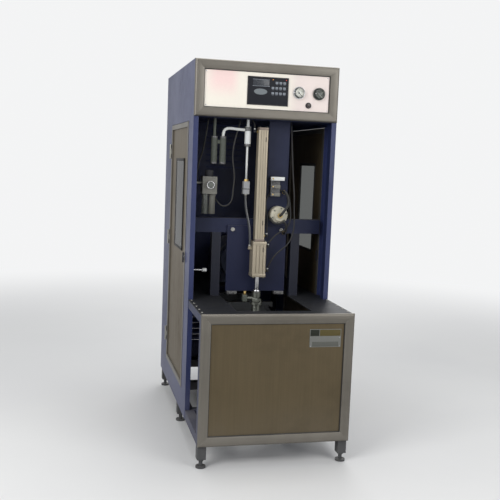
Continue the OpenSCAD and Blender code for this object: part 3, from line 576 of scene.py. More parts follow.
DRESS: dict[Look, str] = {
    SHADED_FRAME_BLUE: "frame_posts frame_side_rails frame_cross_rails",
    BLUE: "left_side_panel right_side_panel roof_panel rear_cover",
    SHADED_NAVY: "header_floor head_beam valve_panel",
    TRIM_Z: "header_side_trims base_side_trims left_door_edging right_door_edging",
    TRIM_X: "header_cross_trims base_cross_trims",
    BLACK: "controller selector_ring left_latch right_latch regulator_knob",
    CHROME: "low_gauge seal_rod stretch_rod tie_bars clamp_rod",
    DOOR_SKIN: "left_door_panel right_door_panel",
    SMOKED: "left_door_window right_door_window",
    ZINC: "left_door_leaves right_door_leaves left_frame_leaves right_frame_leaves",
    BARREL: "seal_cylinder stretch_cylinder",
    PLATEN: "slide_rails front_platen rear_platen yoke_plate",
    SLATE: "clamp_cylinder air_tank",
    IVORY: "fascia", MARK: "low_gauge_pointer", DARK_DIAL: "high_gauge", MARK_PALE: "high_gauge_pointer",
    BROWN: "selector_knob", CHAMPAGNE: "base_panel", FOOT: "levelling_feet", DECK: "deck_plate",
    SHADED_HEAD_BLUE: "head_plate", STEEL: "nozzle", RED_RUBBER: "nozzle_seal", PALE: "filter_regulator",
    GREY_GREEN: "silencers", BLOW_LINE: "blow_line", ALLOY: "valve_manifold", CREAM: "blow_valve",
    HOSES: "air_hoses", BRASS: "inlet_valve",
}

# Roundings of edges and rims, in metres
FINEST, FINER, FINE, THIN = 0.0002, 0.0003, 0.0004, 0.0006
SMALL, EDGE, MIDDLING, SOFT = 0.0008, 0.001, 0.0012, 0.002

# Heads of screws: radius and height of each point from the seat, as shares of the head's radius
PAN_HEAD = ((0, 0), (1, 0), (1, 0.217), (0.8, 0.496), (0.45, 0.62), (0.3, 0.465), (0, 0.434))
SOCKET_HEAD = ((0, 0), (1, 0), (1, 1.17), (0.92, 1.3), (0.55, 1.3), (0.5, 0.585), (0, 0.52))


def stand(at: Point, along: Vector) -> Matrix:
    """The place of a shape whose foot is at a point and whose +Z runs along a direction."""
    return Matrix.Translation(at) @ Z_AXIS.rotation_difference(along).to_matrix().to_4x4()


def rounded(part: bmesh.types.BMesh, radius: float, segments: int) -> None:
    """Rounds every edge of a shape."""
    bmesh.ops.bevel(part, geom=part.edges[:], offset=radius, offset_type="OFFSET", segments=segments,
                    profile=0.5, affect="EDGES", material=-1)


def facing(angle: float, radius: float) -> Vector:
    """A point of a circle that faces the front, from its centre."""
    return Vector((math.cos(angle), 0, math.sin(angle))) * radius


def around(count: int, start: float = 0.0) -> list[float]:
    """Even angles round a circle."""
    return [start + math.tau * k / count for k in range(count)]


def dial_angles(count: int) -> list[float]:
    """Angles of a dial's marks, over 270 degrees clockwise from its lower left."""
    return [math.radians(225 - 270 * k / (count - 1)) for k in range(count)]


def scaled(profile: Profile, factor: float) -> Profile:
    """A profile times a factor."""
    return [(radius * factor, height * factor) for radius, height in profile]


def bars(a0: float, b0: float, a1: float, b1: float, width: float) -> Iterator[tuple[float, ...]]:
    """Gives the two level and two upright bars of a frame.

    Args:
        a0: Lowest place across.
        b0: Lowest place up.
        a1: Highest place across.
        b1: Highest place up.
        width: Width of the bars.

    Yields:
        Each bar's lowest and highest places in the same order.
    """
    yield a0, b0, a1, b0 + width
    yield a0, b1 - width, a1, b1
    yield a0, b0, a0 + width, b1
    yield a1 - width, b0, a1, b1


class Piece:
    """One visible piece, gathered from bmesh shapes and then put on a body."""

    def __init__(self, name: str) -> None:
        """Starts an empty piece.

        Args:
            name: The piece's name in the frame.
        """
        self.name = name
        self.mesh = bmesh.new()
        self.finishes: list[Look] = []

    def _take(self, part: bmesh.types.BMesh, finish: Look, smooth: bool, place: Matrix = HERE) -> None:
        """Adds a shape to the piece.

        Args:
            part: The shape, which is freed.
            finish: What its faces are made of.
            smooth: Whether its faces are shaded smooth.
            place: Where the shape goes.
        """
        bmesh.ops.transform(part, matrix=place, verts=part.verts)
        bmesh.ops.recalc_face_normals(part, faces=part.faces)
        if finish not in self.finishes:
            self.finishes.append(finish)
        index = self.finishes.index(finish)
        for face in part.faces:
            face.material_index = index
            face.smooth = smooth
        shape = bpy.data.meshes.new("shape")
        part.to_mesh(shape)
        part.free()
        self.mesh.from_mesh(shape)
        bpy.data.meshes.remove(shape)

    def _take_curve(self, curve: bpy.types.Curve, finish: Look, smooth: bool, place: Matrix = HERE) -> None:
        """Adds the mesh of a curve or of figures.

        Args:
            curve: The curve, which is removed.
            finish: What it is made of.
            smooth: Whether it is shaded smooth.
            place: Where it goes.
        """
        holder = placed(curve.name, curve)
        shape = bpy.data.meshes.new_from_object(holder)
        part = bmesh.new()
        part.from_mesh(shape)
        bpy.data.objects.remove(holder)
        bpy.data.curves.remove(curve)
        bpy.data.meshes.remove(shape)
        bmesh.ops.remove_doubles(part, verts=part.verts, dist=MERGE)
        self._take(part, finish, smooth, place)

    def block(self, centre: Vector, half: Point, finish: Look, round_by: float = 0.0,
              turn: Matrix = HERE) -> None:
        """Adds a block with rounded edges.

        Args:
            centre: Its centre.
            half: Half its size on each axis.
            finish: What it is made of.
            round_by: Radius of its edges.
            turn: A turn about its centre.
        """
        part = bmesh.new()
        bmesh.ops.create_cube(part, size=2.0)
        bmesh.ops.scale(part, vec=half, verts=part.verts)
        if round_by > 0:
            rounded(part, round_by, 3)
        self._take(part, finish, round_by > 0, Matrix.Translation(centre) @ turn)

    def box(self, a: Point, b: Point, finish: Look, round_by: float = 0.0) -> None:
        """Adds a block between its lowest and its highest corner."""
        a, b = Vector(a), Vector(b)
        self.block((a + b) / 2, (b - a) / 2, finish, round_by)

    def lathe(self, profile: Profile, at: Point, along: Vector, finish: Look, steps: int = 32) -> None:
        """Adds a turned shape.

        Args:
            profile: Radius and height of each point, from the foot to the top.
            at: Where height 0 is.
            along: Which way the height runs.
            finish: What it is made of.
            steps: Facets round it.
        """
        part = bmesh.new()
        verts = [part.verts.new((radius, 0.0, height)) for radius, height in profile]
        edges = [part.edges.new(pair) for pair in zip(verts, verts[1:])]
        bmesh.ops.spin(part, geom=verts + edges, cent=(0, 0, 0), axis=Z_AXIS, angle=math.tau, steps=steps,
                       use_merge=True)
        bmesh.ops.remove_doubles(part, verts=part.verts, dist=MERGE)
        open_edges = [edge for edge in part.edges if edge.is_boundary]
        if open_edges:
            bmesh.ops.holes_fill(part, edges=open_edges, sides=0)
        self._take(part, finish, True, stand(at, along))

    def drum(self, at: Point, along: Vector, radius: float, length: float, finish: Look,
             round_by: float = 0.0005, steps: int = 28) -> None:
        """Adds a cylinder with rounded rims.

        Args:
            at: Middle of its foot.
            along: Its axis.
            radius: Its radius.
            length: Its length.
            finish: What it is made of.
            round_by: Radius of its rims.
            steps: Facets round it.
        """
        r = min(round_by, radius / 2, length / 2)
        knee = r * 0.3
        foot = [(0, 0.0), (radius - r, 0.0), (radius - knee, knee), (radius, r)]
        top = [(radius, length - r), (radius - knee, length - knee), (radius - r, length), (0, length)]
        self.lathe(foot + top, at, along, finish, steps)

    def ring(self, at: Point, along: Vector, outer: float, inner: float, length: float, finish: Look,
             steps: int = 36) -> None:
        """Adds a flat ring with chamfered rims.

        Args:
            at: Middle of its foot.
            along: Its axis.
            outer: Its outer radius.
            inner: Its inner radius.
            length: Its length.
            finish: What it is made of.
            steps: Facets round it.
        """
        c = min(0.0006, (outer - inner) / 4, length / 4)
        loop = [(inner, c), (inner + c, 0), (outer - c, 0), (outer, c), (outer, length - c),
                (outer - c, length), (inner + c, length), (inner, length - c), (inner, c)]
        self.lathe(loop, at, along, finish, steps)

    def hexagon(self, at: Point, along: Vector, radius: float, length: float, finish: Look,
                round_by: float = 0.0004) -> None:
        """Adds a nut or a bolt's head with six flats.

        Args:
            at: Middle of its foot.
            along: Its axis.
            radius: Radius to its corners.
            length: Its length.
            finish: What it is made of.
            round_by: Radius of its edges.
        """
        part = bmesh.new()
        bmesh.ops.create_cone(part, cap_ends=True, segments=6, radius1=radius, radius2=radius, depth=length)
        rounded(part, round_by, 2)
        self._take(part, finish, False, stand(at, along) @ Matrix.Translation((0, 0, length / 2)))

    def screw(self, at: Point, along: Vector, radius: float, finish: Look = ZINC) -> None:
        """Adds a pan head that stands on its seat."""
        self.lathe(scaled(PAN_HEAD, radius), at, along, finish, steps=14)

    def cap_screw(self, at: Point, along: Vector, radius: float) -> None:
        """Adds a socket head that stands on its seat."""
        self.lathe(scaled(SOCKET_HEAD, radius), at, along, STEEL, steps=16)

    def pipe(self, path: Sequence[Point], radius: float, finish: Look, sides: int = 10) -> None:
        """Adds a round tube along a smooth path.

        Args:
            path: Points that the tube passes through.
            radius: Its radius.
            finish: What it is made of.
            sides: Facets round it.
        """
        curve = bpy.data.curves.new("path", "CURVE")
        curve.dimensions = "3D"
        curve.resolution_u = 8
        curve.bevel_depth = radius
        curve.bevel_resolution = sides // 4
        curve.use_fill_caps = True
        knots = curve.splines.new("BEZIER").bezier_points
        knots.add(len(path) - 1)
        for knot, place in zip(knots, path):
            knot.co = place
            knot.handle_left_type = knot.handle_right_type = "AUTO"
        self._take_curve(curve, finish, True)

    def figures(self, text: str, at: Point, size: float, finish: Look) -> None:
        """Adds plain raised figures that face the front.

        Args:
            text: The figures.
            at: Middle of the figures.
            size: Their height.
            finish: What they are made of.
        """
        curve = bpy.data.curves.new("figures", "FONT")
        curve.body = text
        curve.size = size
        curve.extrude = 0.0001
        curve.align_x = curve.align_y = "CENTER"
        curve.resolution_u = 2
        self._take_curve(curve, finish, False, Matrix.Translation(at) @ Matrix.Rotation(math.pi / 2, 4, "X"))

    def put(self, body: str = "root", slot: str = "hinge_steel") -> None:
        """Makes the object and puts it on a body.

        Args:
            body: The CAD body that it moves with.
            slot: The record's material slot for the piece; not used.
        """
        shape = bpy.data.meshes.new(self.name)
        self.mesh.to_mesh(shape)
        self.mesh.free()
        for finish in self.finishes:
            shape.materials.append(finish.build())
        made = placed(self.name, shape)
        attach(made, body)
        log.info("%s: %d faces on %s", self.name, len(shape.polygons), body)


@dataclass
class CadDress:
    """Puts the finishes on the CAD nodes and shades their round faces smooth."""

    split_angle: float = math.radians(28)
    weld: float = 0.00001

    def build(self) -> None:
        """Dresses every node."""
        finishes = {name: finish for finish, names in DRESS.items() for name in names.split()}
        for name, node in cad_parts.items():
            node.data.materials.clear()
            node.data.materials.append(finishes[name].build())
            for face in node.data.polygons:
                face.use_smooth = True
            node.modifiers.new("weld", "WELD").merge_threshold = self.weld
            node.modifiers.new("split", "EDGE_SPLIT").split_angle = self.split_angle
        log.info("cad nodes: %d dressed", len(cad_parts))


@dataclass
class ShadowLineBead:
    """A black rubber bead round the inside of a front frame's trims; it also stands in for the shadow line
    where the panel sits back from them.
    """

    name: str
    trims: str
    panel: str
    trim_w: float = 0.05
    width: float = 0.0035
    depth: float = 0.005

    def build(self) -> None:
        """Builds the bead where the trims meet the panel."""
        y = low(self.panel).y
        a, b = corners(self.trims)
        bead = Piece(self.name)
        inside = (a.x + self.trim_w, a.z + self.trim_w, b.x - self.trim_w, b.z - self.trim_w)
        for x0, z0, x1, z1 in bars(*inside, self.width):
            bead.box((x0, y - self.depth, z0), (x1, y, z1), RUBBER, MIDDLING)
        bead.put(slot="knob_black")


@dataclass
class ControllerFace:
    """The controller's membrane, display, keys, lamps, oval pad and rim.

    Shares are of the membrane's width and height, from its upper left corner.
    """

    inset: float = 0.0065
    film: float = 0.001
    rim: float = 0.006
    display_across: tuple[float, float] = (0.11, 0.53)
    display_down: tuple[float, float] = (0.07, 0.31)
    display_bar: float = 0.015
    display_lift: float = 0.0014
    bar_lift: float = 0.0018
    bar_lap: float = 0.002
    oval_across: float = 0.31
    oval_down: float = 0.53
    oval_radius: float = 0.037
    oval_squash: float = 0.44
    key_rows: tuple[int, ...] = (3, 4, 4)
    key_half: tuple[float, float] = (0.00725, 0.00575)
    key_pitch: tuple[float, float] = (0.0215, 0.028)
    key_corner: tuple[float, float] = (0.016, 0.022)
    key_lift: float = 0.0013
    key_edge: float = 0.0005
    dash_half: Point = (0.004, 0.0003, 0.0006)
    label_half: float = 0.006
    label_lift: float = 0.0008
    label_down: tuple[float, float] = (0.0042, 0.003)
    sheet_lift: float = 0.0005
    lamp: tuple[float, float] = (0.0021, 0.0018)
    lamp_corner: tuple[float, float] = (0.007, 0.006)
    rim_lift: float = 0.0012
    rim_edge: float = 0.0011
    dish: Profile = ((0.0, 0.0006), (-0.003, 0.0014), (-0.008, 0.0010))
    dish_lift: float = 0.0004

    def __post_init__(self) -> None:
        """Measures the membrane and starts its sheet."""
        self.a, self.b = corners("controller")
        self.y = self.a.y + self.film
        self.left, self.right = self.a.x + self.inset, self.b.x - self.inset
        self.foot, self.top = self.a.z + self.inset, self.b.z - self.inset
        self.sheet = Piece("controller_membrane")

    def build(self) -> None:
        """Builds the membrane with what is printed on it, the oval pad and the rim."""
        y, sheet = self.y, self.sheet
        sheet.box((self.left, y - self.sheet_lift, self.foot), (self.right, y + self.film, self.top),
                  MEMBRANE, FINE)
        self.display()
        self.oval()
        self.keys()
        lamp_x, lamp_z = self.lamp_corner
        amber_x = self.right - self.key_corner[0] - 3 * self.key_pitch[0]
        for x, finish in ((self.right - lamp_x, LAMP_RED), (amber_x, LAMP_AMBER)):
            sheet.drum((x, y, self.top - lamp_z), FRONT, *self.lamp, finish, THIN, steps=16)
        sheet.put(slot="controller_black")
        rim = Piece("controller_rim")
        for x0, z0, x1, z1 in bars(self.a.x, self.a.z, self.b.x, self.b.z, self.rim):
            rim.box((x0, self.a.y - self.rim_lift, z0), (x1, y, z1), BLACK, self.rim_edge)
        rim.put(slot="controller_black")

    def across(self, share: float) -> float:
        """The place at a share of the membrane's width."""
        return self.left + (self.right - self.left) * share

    def down(self, share: float) -> float:
        """The place at a share of the membrane's height."""
        return self.top - (self.top - self.foot) * share

    def display(self) -> None:
        """Adds the display window with a pale line above and below it."""
        left, right = (self.across(share) for share in self.display_across)
        top, foot = self.display_down
        self.sheet.box((left, self.y - self.display_lift, self.down(foot)),
                       (right, self.y, self.down(top)), LCD, THIN)
        for share in (foot, top - self.display_bar):
            self.sheet.box((left - self.bar_lap, self.y - self.bar_lift, self.down(share + self.display_bar)),
                           (right + self.bar_lap, self.y, self.down(share)), KEY, FINER)

    def oval(self) -> None:
        """Builds the oval pad: a dished disc, squashed in height."""
        disc = Piece("controller_oval")
        r = self.oval_radius
        slope = [(r + inset, lift) for inset, lift in self.dish]
        disc.lathe([(0, 0), (r, 0), *slope, (0, self.dish[-1][1])], (0, 0, 0), FRONT, PAD, steps=48)
        centre = Vector((self.across(self.oval_across), self.y - self.dish_lift, self.down(self.oval_down)))
        place = Matrix.Translation(centre) @ Matrix.Diagonal((1.0, 1.0, self.oval_squash, 1.0))
        bmesh.ops.transform(disc.mesh, matrix=place, verts=disc.mesh.verts)
        disc.put(slot="controller_black")

    def keys(self) -> None:
        """Adds the rows of keys, each with a dark dash on it and a pale one below it."""
        y, (half_w, half_h), half_label = self.y, self.key_half, self.label_half
        for row, count in enumerate(self.key_rows):
            z = self.top - self.key_corner[1] - row * self.key_pitch[1]
            under = z - half_h
            label_foot, label_top = (under - drop for drop in self.label_down)
            for k in range(count):
                x = self.right - self.key_corner[0] - (count - 1 - k) * self.key_pitch[0]
                self.sheet.box((x - half_w, y - self.key_lift, under), (x + half_w, y, z + half_h), KEY,
                               self.key_edge)
                self.sheet.block(Vector((x, y - self.key_lift, z)), self.dash_half, MEMBRANE)
                self.sheet.box((x - half_label, y - self.label_lift, label_foot),
                               (x + half_label, y, label_top), KEY)


@dataclass
class Gauge:
    """One pressure gauge's dial, bezel, lens and pointer hub."""

    node: str
    face: Look
    mark: Look
    case: Look
    step: int
    ticks: int = 21
    ticks_in_step: int = 5
    dial_depth: float = 0.0068
    face_back: float = 0.0002
    face_inset: float = 0.0034
    face_hole: float = 0.0022
    face_thick: float = 0.0008
    long_tick: tuple[float, float] = (0.005, 0.0005)
    short_tick: tuple[float, float] = (0.0028, 0.0003)
    tick_half: float = 0.0001
    tick_lift: float = 0.0008
    figure_lift: float = 0.0009
    tick_rim: float = 0.0055
    figure_rim: float = 0.0148
    figure_size: float = 0.0062
    lip: Profile = ((-0.0032, 0.0005), (-0.0030, -0.0004), (-0.0016, -0.0012), (-0.0004, -0.0004),
                    (0.0, 0.0012), (0.0, 0.0024), (-0.0032, 0.0024), (-0.0032, 0.0005))
    pane_inset: float = 0.0036
    pane_thick: float = 0.0016
    pane_depth: float = 0.0006
    boss: Profile = ((0, 0), (0.0036, 0), (0.0036, 0.0008), (0.002, 0.0015), (0, 0.0017))
    boss_gap: float = 0.0003

    def build(self) -> None:
        """Builds the gauge's pieces; the lip's radii count from the rim."""
        centre = middle(self.node)
        front = low(self.node).y
        r = high(self.node).x - centre.x
        self.dial(Vector((centre.x, front + self.dial_depth, centre.z)), r)
        bezel = Piece(self.node + "_bezel")
        lip = [(r + inset, depth) for inset, depth in self.lip]
        bezel.lathe(lip, (centre.x, front, centre.z), Y_AXIS, self.case, steps=48)
        bezel.put(slot="gauge_case")
        lens = Piece(self.node + "_lens")
        edge = r - self.pane_inset
        pane = [(0, 0), (edge, 0), (edge, self.pane_thick), (0, self.pane_thick)]
        lens.lathe(pane, (centre.x, front + self.pane_depth, centre.z), Y_AXIS, LENS, steps=40)
        lens.put(slot="window_acrylic")
        hub = Piece(self.node + "_hub")
        seat = low(self.node + "_pointer").y + self.boss_gap
        hub.lathe(self.boss, (centre.x, seat, centre.z), FRONT, BLACK, steps=20)
        hub.put(body=self.node.replace("_gauge", "_pointer"), slot="pointer_black")

    def dial(self, centre: Vector, radius: float) -> None:
        """Builds the dial with its marks and figures.

        Args:
            centre: Middle of the dial.
            radius: Radius of the gauge.
        """
        dial = Piece(self.node + "_dial")
        dial.ring(centre + Y_AXIS * self.face_back, FRONT, radius - self.face_inset, self.face_hole,
                  self.face_thick, self.face, steps=40)
        outer = radius - self.tick_rim
        for i, angle in enumerate(dial_angles(self.ticks)):
            long = i % self.ticks_in_step == 0
            length, half_width = self.long_tick if long else self.short_tick
            half = (length / 2, self.tick_half, half_width)
            spot = centre + FRONT * self.tick_lift + facing(angle, outer - length / 2)
            dial.block(spot, half, self.mark, turn=Matrix.Rotation(-angle, 4, "Y"))
            if long:
                spot = centre + FRONT * self.figure_lift + facing(angle, radius - self.figure_rim)
                dial.figures(str(i // self.ticks_in_step * self.step), spot, self.figure_size, self.mark)
        dial.put(slot="gauge_case")


@dataclass
class HeaderPanel:
    """The fascia's selector, screws and bead."""

    knurls: int = 30
    knurl_half: Point = (0.0007, 0.0022, 0.0007)
    knurl_inset: float = 0.0006
    knurl_depth: float = 0.0026
    grip_half: float = 0.0045
    grip_lift: float = 0.0003
    grip_depth: float = 0.006
    grip_gap: float = 0.0004
    grip_edge: float = 0.0018
    line_half: float = 0.0007
    line_lift: float = 0.0006
    line_depth: float = 0.001
    screw_x: float = 0.338
    screw_foot: float = 0.062
    screw_top: float = 0.060

    def build(self) -> None:
        """Builds the header's small pieces."""
        self.selector_grip()
        self.selector_bezel()
        screws = Piece("fascia_screws")
        for x in (-self.screw_x, self.screw_x):
            for z in (low("fascia").z + self.screw_foot, high("fascia").z - self.screw_top):
                screws.screw((x, low("fascia").y, z), FRONT, 0.0032, CHROME)
        screws.put()
        ShadowLineBead("fascia_shadow_line_bead", "header_side_trims", "fascia").build()

    def selector_grip(self) -> None:
        """Builds the selector's grip with a pale line on it."""
        a, b = corners("selector_knob")
        centre = middle("selector_knob")
        x = centre.x
        grip = Piece("selector_grip")
        half, line = self.grip_half, self.line_half
        grip.box((x - half, a.y - self.grip_lift, a.z + self.grip_gap),
                 (x + half, a.y + self.grip_depth, b.z - self.grip_gap), BROWN, self.grip_edge)
        grip.box((x - line, a.y - self.line_lift, centre.z),
                 (x + line, a.y + self.line_depth, b.z - self.line_depth), MARK_PALE)
        grip.put(body="selector", slot="knob_black")

    def selector_bezel(self) -> None:
        """Builds the knurls of the selector's ring."""
        ring = low("selector_ring")
        outer = (high("selector_ring").x - ring.x) / 2
        centre = middle("selector_knob")
        centre.y = ring.y + self.knurl_depth
        bezel = Piece("selector_bezel")
        for angle in around(self.knurls):
            bezel.block(centre + facing(angle, outer - self.knurl_inset), self.knurl_half, BLACK, FINER)
        bezel.put(slot="gauge_case")


@dataclass
class BasePanel:
    """The champagne panel's blank plate and bead."""

    left: float = 0.164
    right: float = 0.332
    foot: float = 0.620
    top: float = 0.714
    strip: float = 0.036
    dark_share: float = 0.30
    foot_band: float = 0.028
    foot_inset: float = 0.013
    edge: float = 0.003
    rivet_inset: float = 0.006
    rivet_drop: float = 0.008
    rivet_r: float = 0.0022
    thick: float = 0.001
    field_lift: tuple[float, float] = (0.0014, 0.0008)

    def build(self) -> None:
        """Builds the blank plate with its plain fields and rivets, and the bead round the panel."""
        y = low("base_panel").y
        x0, x1, z0, z1 = self.left, self.right, self.foot, self.top
        split = x0 + (x1 - x0) * self.dark_share
        e = self.edge
        plate = Piece("blank_plate")
        plate.box((x0, y - self.thick, z0), (x1, y, z1), PLATE_PALE, FINE)
        inset = self.foot_inset
        near, far = (y - lift for lift in self.field_lift)
        for xa, za, xb, zb, finish in ((x0 + e, z1 - self.strip, split, z1 - e, PLATE_DARK),
                                       (split + e, z1 - self.strip, x1 - e, z1 - e, PLATE_OLIVE),
                                       (x0 + inset, z0 + e, x1 - inset, z0 + self.foot_band, PLATE_GREY)):
            plate.box((xa, near, za), (xb, far, zb), finish, FINEST)
        r = self.rivet_inset
        for x in (x0 + r, x1 - r):
            for z in (z0 + r, z1 - self.strip - self.rivet_drop):
                plate.screw((x, y - self.thick, z), FRONT, self.rivet_r, CHROME)
        plate.put(slot="fascia_ivory")
        ShadowLineBead("base_shadow_line_bead", "base_side_trims", "base_panel").build()


@dataclass
class SideDoor:
    """One side door's window gasket, hinge screws and latch band."""

    side: Side
    gasket_w: float = 0.014
    gasket_lap: float = 0.002
    window_rim: float = 0.014
    gasket_out: float = 0.3997
    gasket_in: float = 0.3885
    door_face: float = 0.404
    frame_face: float = 0.402
    hinges: int = 3
    door_leaf_h: float = 0.0294
    frame_leaf_h: float = 0.09
    screw_inset: float = 0.010
    frame_screws: tuple[float, ...] = (0.015, 0.045, 0.075)
    latch_face: float = 0.4027
    latch_z: float = 1.0
    latch_band: tuple[float, float, float] = (0.0145, 0.0137, 0.0024)

    def build(self) -> None:
        """Builds the door's pieces."""
        word = self.side.word
        self.gasket()
        leaves, half_leaf = word + "_door_leaves", self.door_leaf_h / 2
        self.hinge_screws(leaves, word + "_door", self.door_face, low(leaves).y + self.screw_inset,
                          self.door_leaf_h, (half_leaf,))
        leaves = word + "_frame_leaves"
        self.hinge_screws(leaves, "root", self.frame_face, high(leaves).y - self.screw_inset,
                          self.frame_leaf_h, self.frame_screws)
        band = Piece(word + "_latch_band")
        spot = (self.side.value * self.latch_face, middle(word + "_latch").y, self.latch_z)
        band.ring(spot, X_AXIS * self.side.value, *self.latch_band, CHROME, steps=32)
        band.put(body=word + "_latch")

    def gasket(self) -> None:
        """Builds the rubber frame round the window, on both faces of the panel."""
        word = self.side.word
        a, b = corners(word + "_door_window")
        grow = self.gasket_w - self.window_rim
        width = self.gasket_w + self.gasket_lap
        x0, x1 = sorted((self.side.value * self.gasket_out, self.side.value * self.gasket_in))
        gasket = Piece(word + "_window_gasket")
        for y0, z0, y1, z1 in bars(a.y - grow, a.z - grow, b.y + grow, b.z + grow, width):
            gasket.box((x0, y0, z0), (x1, y1, z1), RUBBER, SOFT)
        gasket.put(body=word + "_door", slot="knob_black")

    def hinge_screws(self, node: str, body: str, face: float, y: float, leaf_h: float,
                     heights: Sequence[float]) -> None:
        """Builds the screws through one leaf of each hinge.

        Args:
            node: The leaves' CAD node.
            body: What the leaves move with.
            face: Their outer face, from the machine's middle.
            y: Where the row of screws is.
            leaf_h: Height of a leaf.
            heights: The screws' heights above a leaf's foot.
        """
        outward = X_AXIS * self.side.value
        foot = low(node).z
        pitch = (high(node).z - foot - leaf_h) / (self.hinges - 1)
        screws = Piece(node + "_screws")
        for k in range(self.hinges):
            for height in heights:
                screws.screw((self.side.value * face, y, foot + k * pitch + height), outward, 0.0042)
        screws.put(body=body)


@dataclass
class HeadUnit:
    """Stretch cylinder, seal cylinder and nozzle with their fittings."""

    cheek: float = 0.0022
    stretch_cap: float = 0.014
    seal_cap: float = 0.018
    elbow_r: float = 0.0085
    seal_elbow_r: float = 0.009
    tube_r: float = 0.004
    lead_r: float = 0.0045
    stretch_screw: tuple[float, float] = (0.008, 0.0035)
    seal_foot_screw: tuple[float, float] = (0.010, 0.0050)
    seal_top_screw: tuple[float, float] = (0.006, 0.0040)
    sensor_heights: tuple[float, float, float] = (1.66, 1.20, 1.05)
    sensor_w: float = 0.004
    sensor_h: float = 0.026
    sensor_lift: float = 0.0022
    sensor_depth: float = 0.0032
    shoe: tuple[float, float] = (0.108, 0.165)
    shoe_h: float = 0.018
    shoe_reach: float = 0.020
    shoe_bolt_inset: float = 0.012
    shoe_bolt_r: float = 0.0042
    lug_across: tuple[float, float] = (0.008, 0.026)
    lug_out: float = 0.014
    lug_in: float = 0.002
    lug_down: tuple[float, float] = (0.014, 0.004)
    bolt_inset: tuple[float, float] = (0.03, 0.022)
    bolt_head: tuple[float, float] = (0.0095, 0.0065)
    washer: tuple[float, float] = (0.0115, 0.0016)
    lip: Profile = ((0.0125, 0.0), (0.0205, 0.0), (0.0224, 0.002), (0.0224, 0.0045), (0.0214, 0.0055),
                    (0.0224, 0.0065), (0.0224, 0.0078), (0.0125, 0.0078), (0.0125, 0.0))
    top_port: float = 0.022
    port: float = 0.03
    nut_share: float = 1.05
    nut_h: float = 0.007
    body_share: float = 0.8
    body_start: float = 0.006
    body_length: float = 0.019
    knee_reach: float = 0.018
    knee_rise: float = 0.010
    collar_share: float = 0.62
    collar_h: float = 0.006
    plug_step: Point = (-0.004, 0.018, 0.012)
    side_plug: Point = (-0.050, -0.008, 0.034)
    side_plug_size: tuple[float, float] = (0.0065, 0.012)
    clamp_ring_z: float = 0.114
    clamp_ring: tuple[float, float, float] = (0.021, 0.0138, 0.012)
    clamp_nut_z: float = 0.060
    clamp_nut: tuple[float, float] = (0.029, 0.018)
    side_block: tuple[Point, Point] = ((-0.080, -0.016, 0.060), (-0.054, 0.016, 0.098))
    side_pin: tuple[float, float] = (0.008, 0.020)
    nozzle_rings: int = 3
    nozzle_ring: tuple[float, float, float] = (0.0262, 0.0245, 0.004)
    nozzle_ring_start: float = 0.006
    nozzle_ring_pitch: float = 0.010

    def __post_init__(self) -> None:
        """Finds the head's axis and the sizes of its cylinders."""
        self.x, self.y, _ = middle("stretch_rod")
        self.half, self.seal_half = high("stretch_cylinder").x, high("seal_cylinder").x
        self.foot, self.top = low("stretch_cylinder").z, high("stretch_cylinder").z
        self.seal_foot, self.seal_top = low("seal_cylinder").z, high("seal_cylinder").z

    def build(self) -> None:
        """Builds the head's pieces."""
        self.caps()
        self.cap_screws()
        self.elbows_and_tubes()
        self.sensors()
        self.nozzle_fittings()
        self.nozzle_lip()
        self.guide_shoes()
        self.plate_bolts()

    def at(self, dx: float, dy: float, z: float) -> Vector:
        """A point by its distance from the head's axis and its height."""
        return Vector((self.x + dx, self.y + dy, z))

    def caps(self) -> None:
        """Builds end caps of four slim cheeks each on both cylinders."""
        caps = Piece("cylinder_caps")
        for half, foot, top, height, finish in (
            (self.half, self.foot, self.top, self.stretch_cap, BARREL_CAP),
            (self.seal_half, self.seal_foot, self.seal_top, self.seal_cap, BARREL),
        ):
            half += 0.0002
            for z in (foot, top - height):
                for x0, y0, x1, y1 in bars(-half, -half, half, half, self.cheek):
                    caps.box(self.at(x0, y0, z), self.at(x1, y1, z + height), finish, 0.0009)
        caps.put(slot="cylinder_aluminium")

    def cap_screws(self) -> None:
        """Builds the screws in the corners of the caps."""
        screws = Piece("cylinder_screws")
        for half, (inset, radius), z, up in (
            (self.half, self.stretch_screw, self.top, Z_AXIS),
            (self.seal_half, self.seal_foot_screw, self.seal_foot, -Z_AXIS),
            (self.seal_half, self.seal_top_screw, self.seal_top, Z_AXIS),
        ):
            reach = half - inset
            for dx in (-reach, reach):
                for dy in (-reach, reach):
                    screws.cap_screw(self.at(dx, dy, z), up, radius)
        screws.put()

    def elbow(self, piece: Piece, at: Vector, out: Vector, radius: float) -> None:
        """Adds a push-in elbow that looks up: thread nut, body and collar.

        Args:
            piece: The piece that it joins.
            at: Where it screws in.
            out: Away from the port.
            radius: Radius of its thread.
        """
        body = radius * self.body_share
        piece.hexagon(at, out, radius * self.nut_share, self.nut_h, BRASS)
        piece.drum(at + out * self.body_start, out, body, self.body_length, BLACK, SOFT)
        knee = at + out * self.knee_reach
        piece.drum(knee - Z_AXIS * body, Z_AXIS, body, body + self.knee_rise, BLACK, SOFT)
        mouth = knee + Z_AXIS * self.knee_rise
        piece.drum(mouth, Z_AXIS, radius * self.collar_share, self.collar_h, MILKY, EDGE)

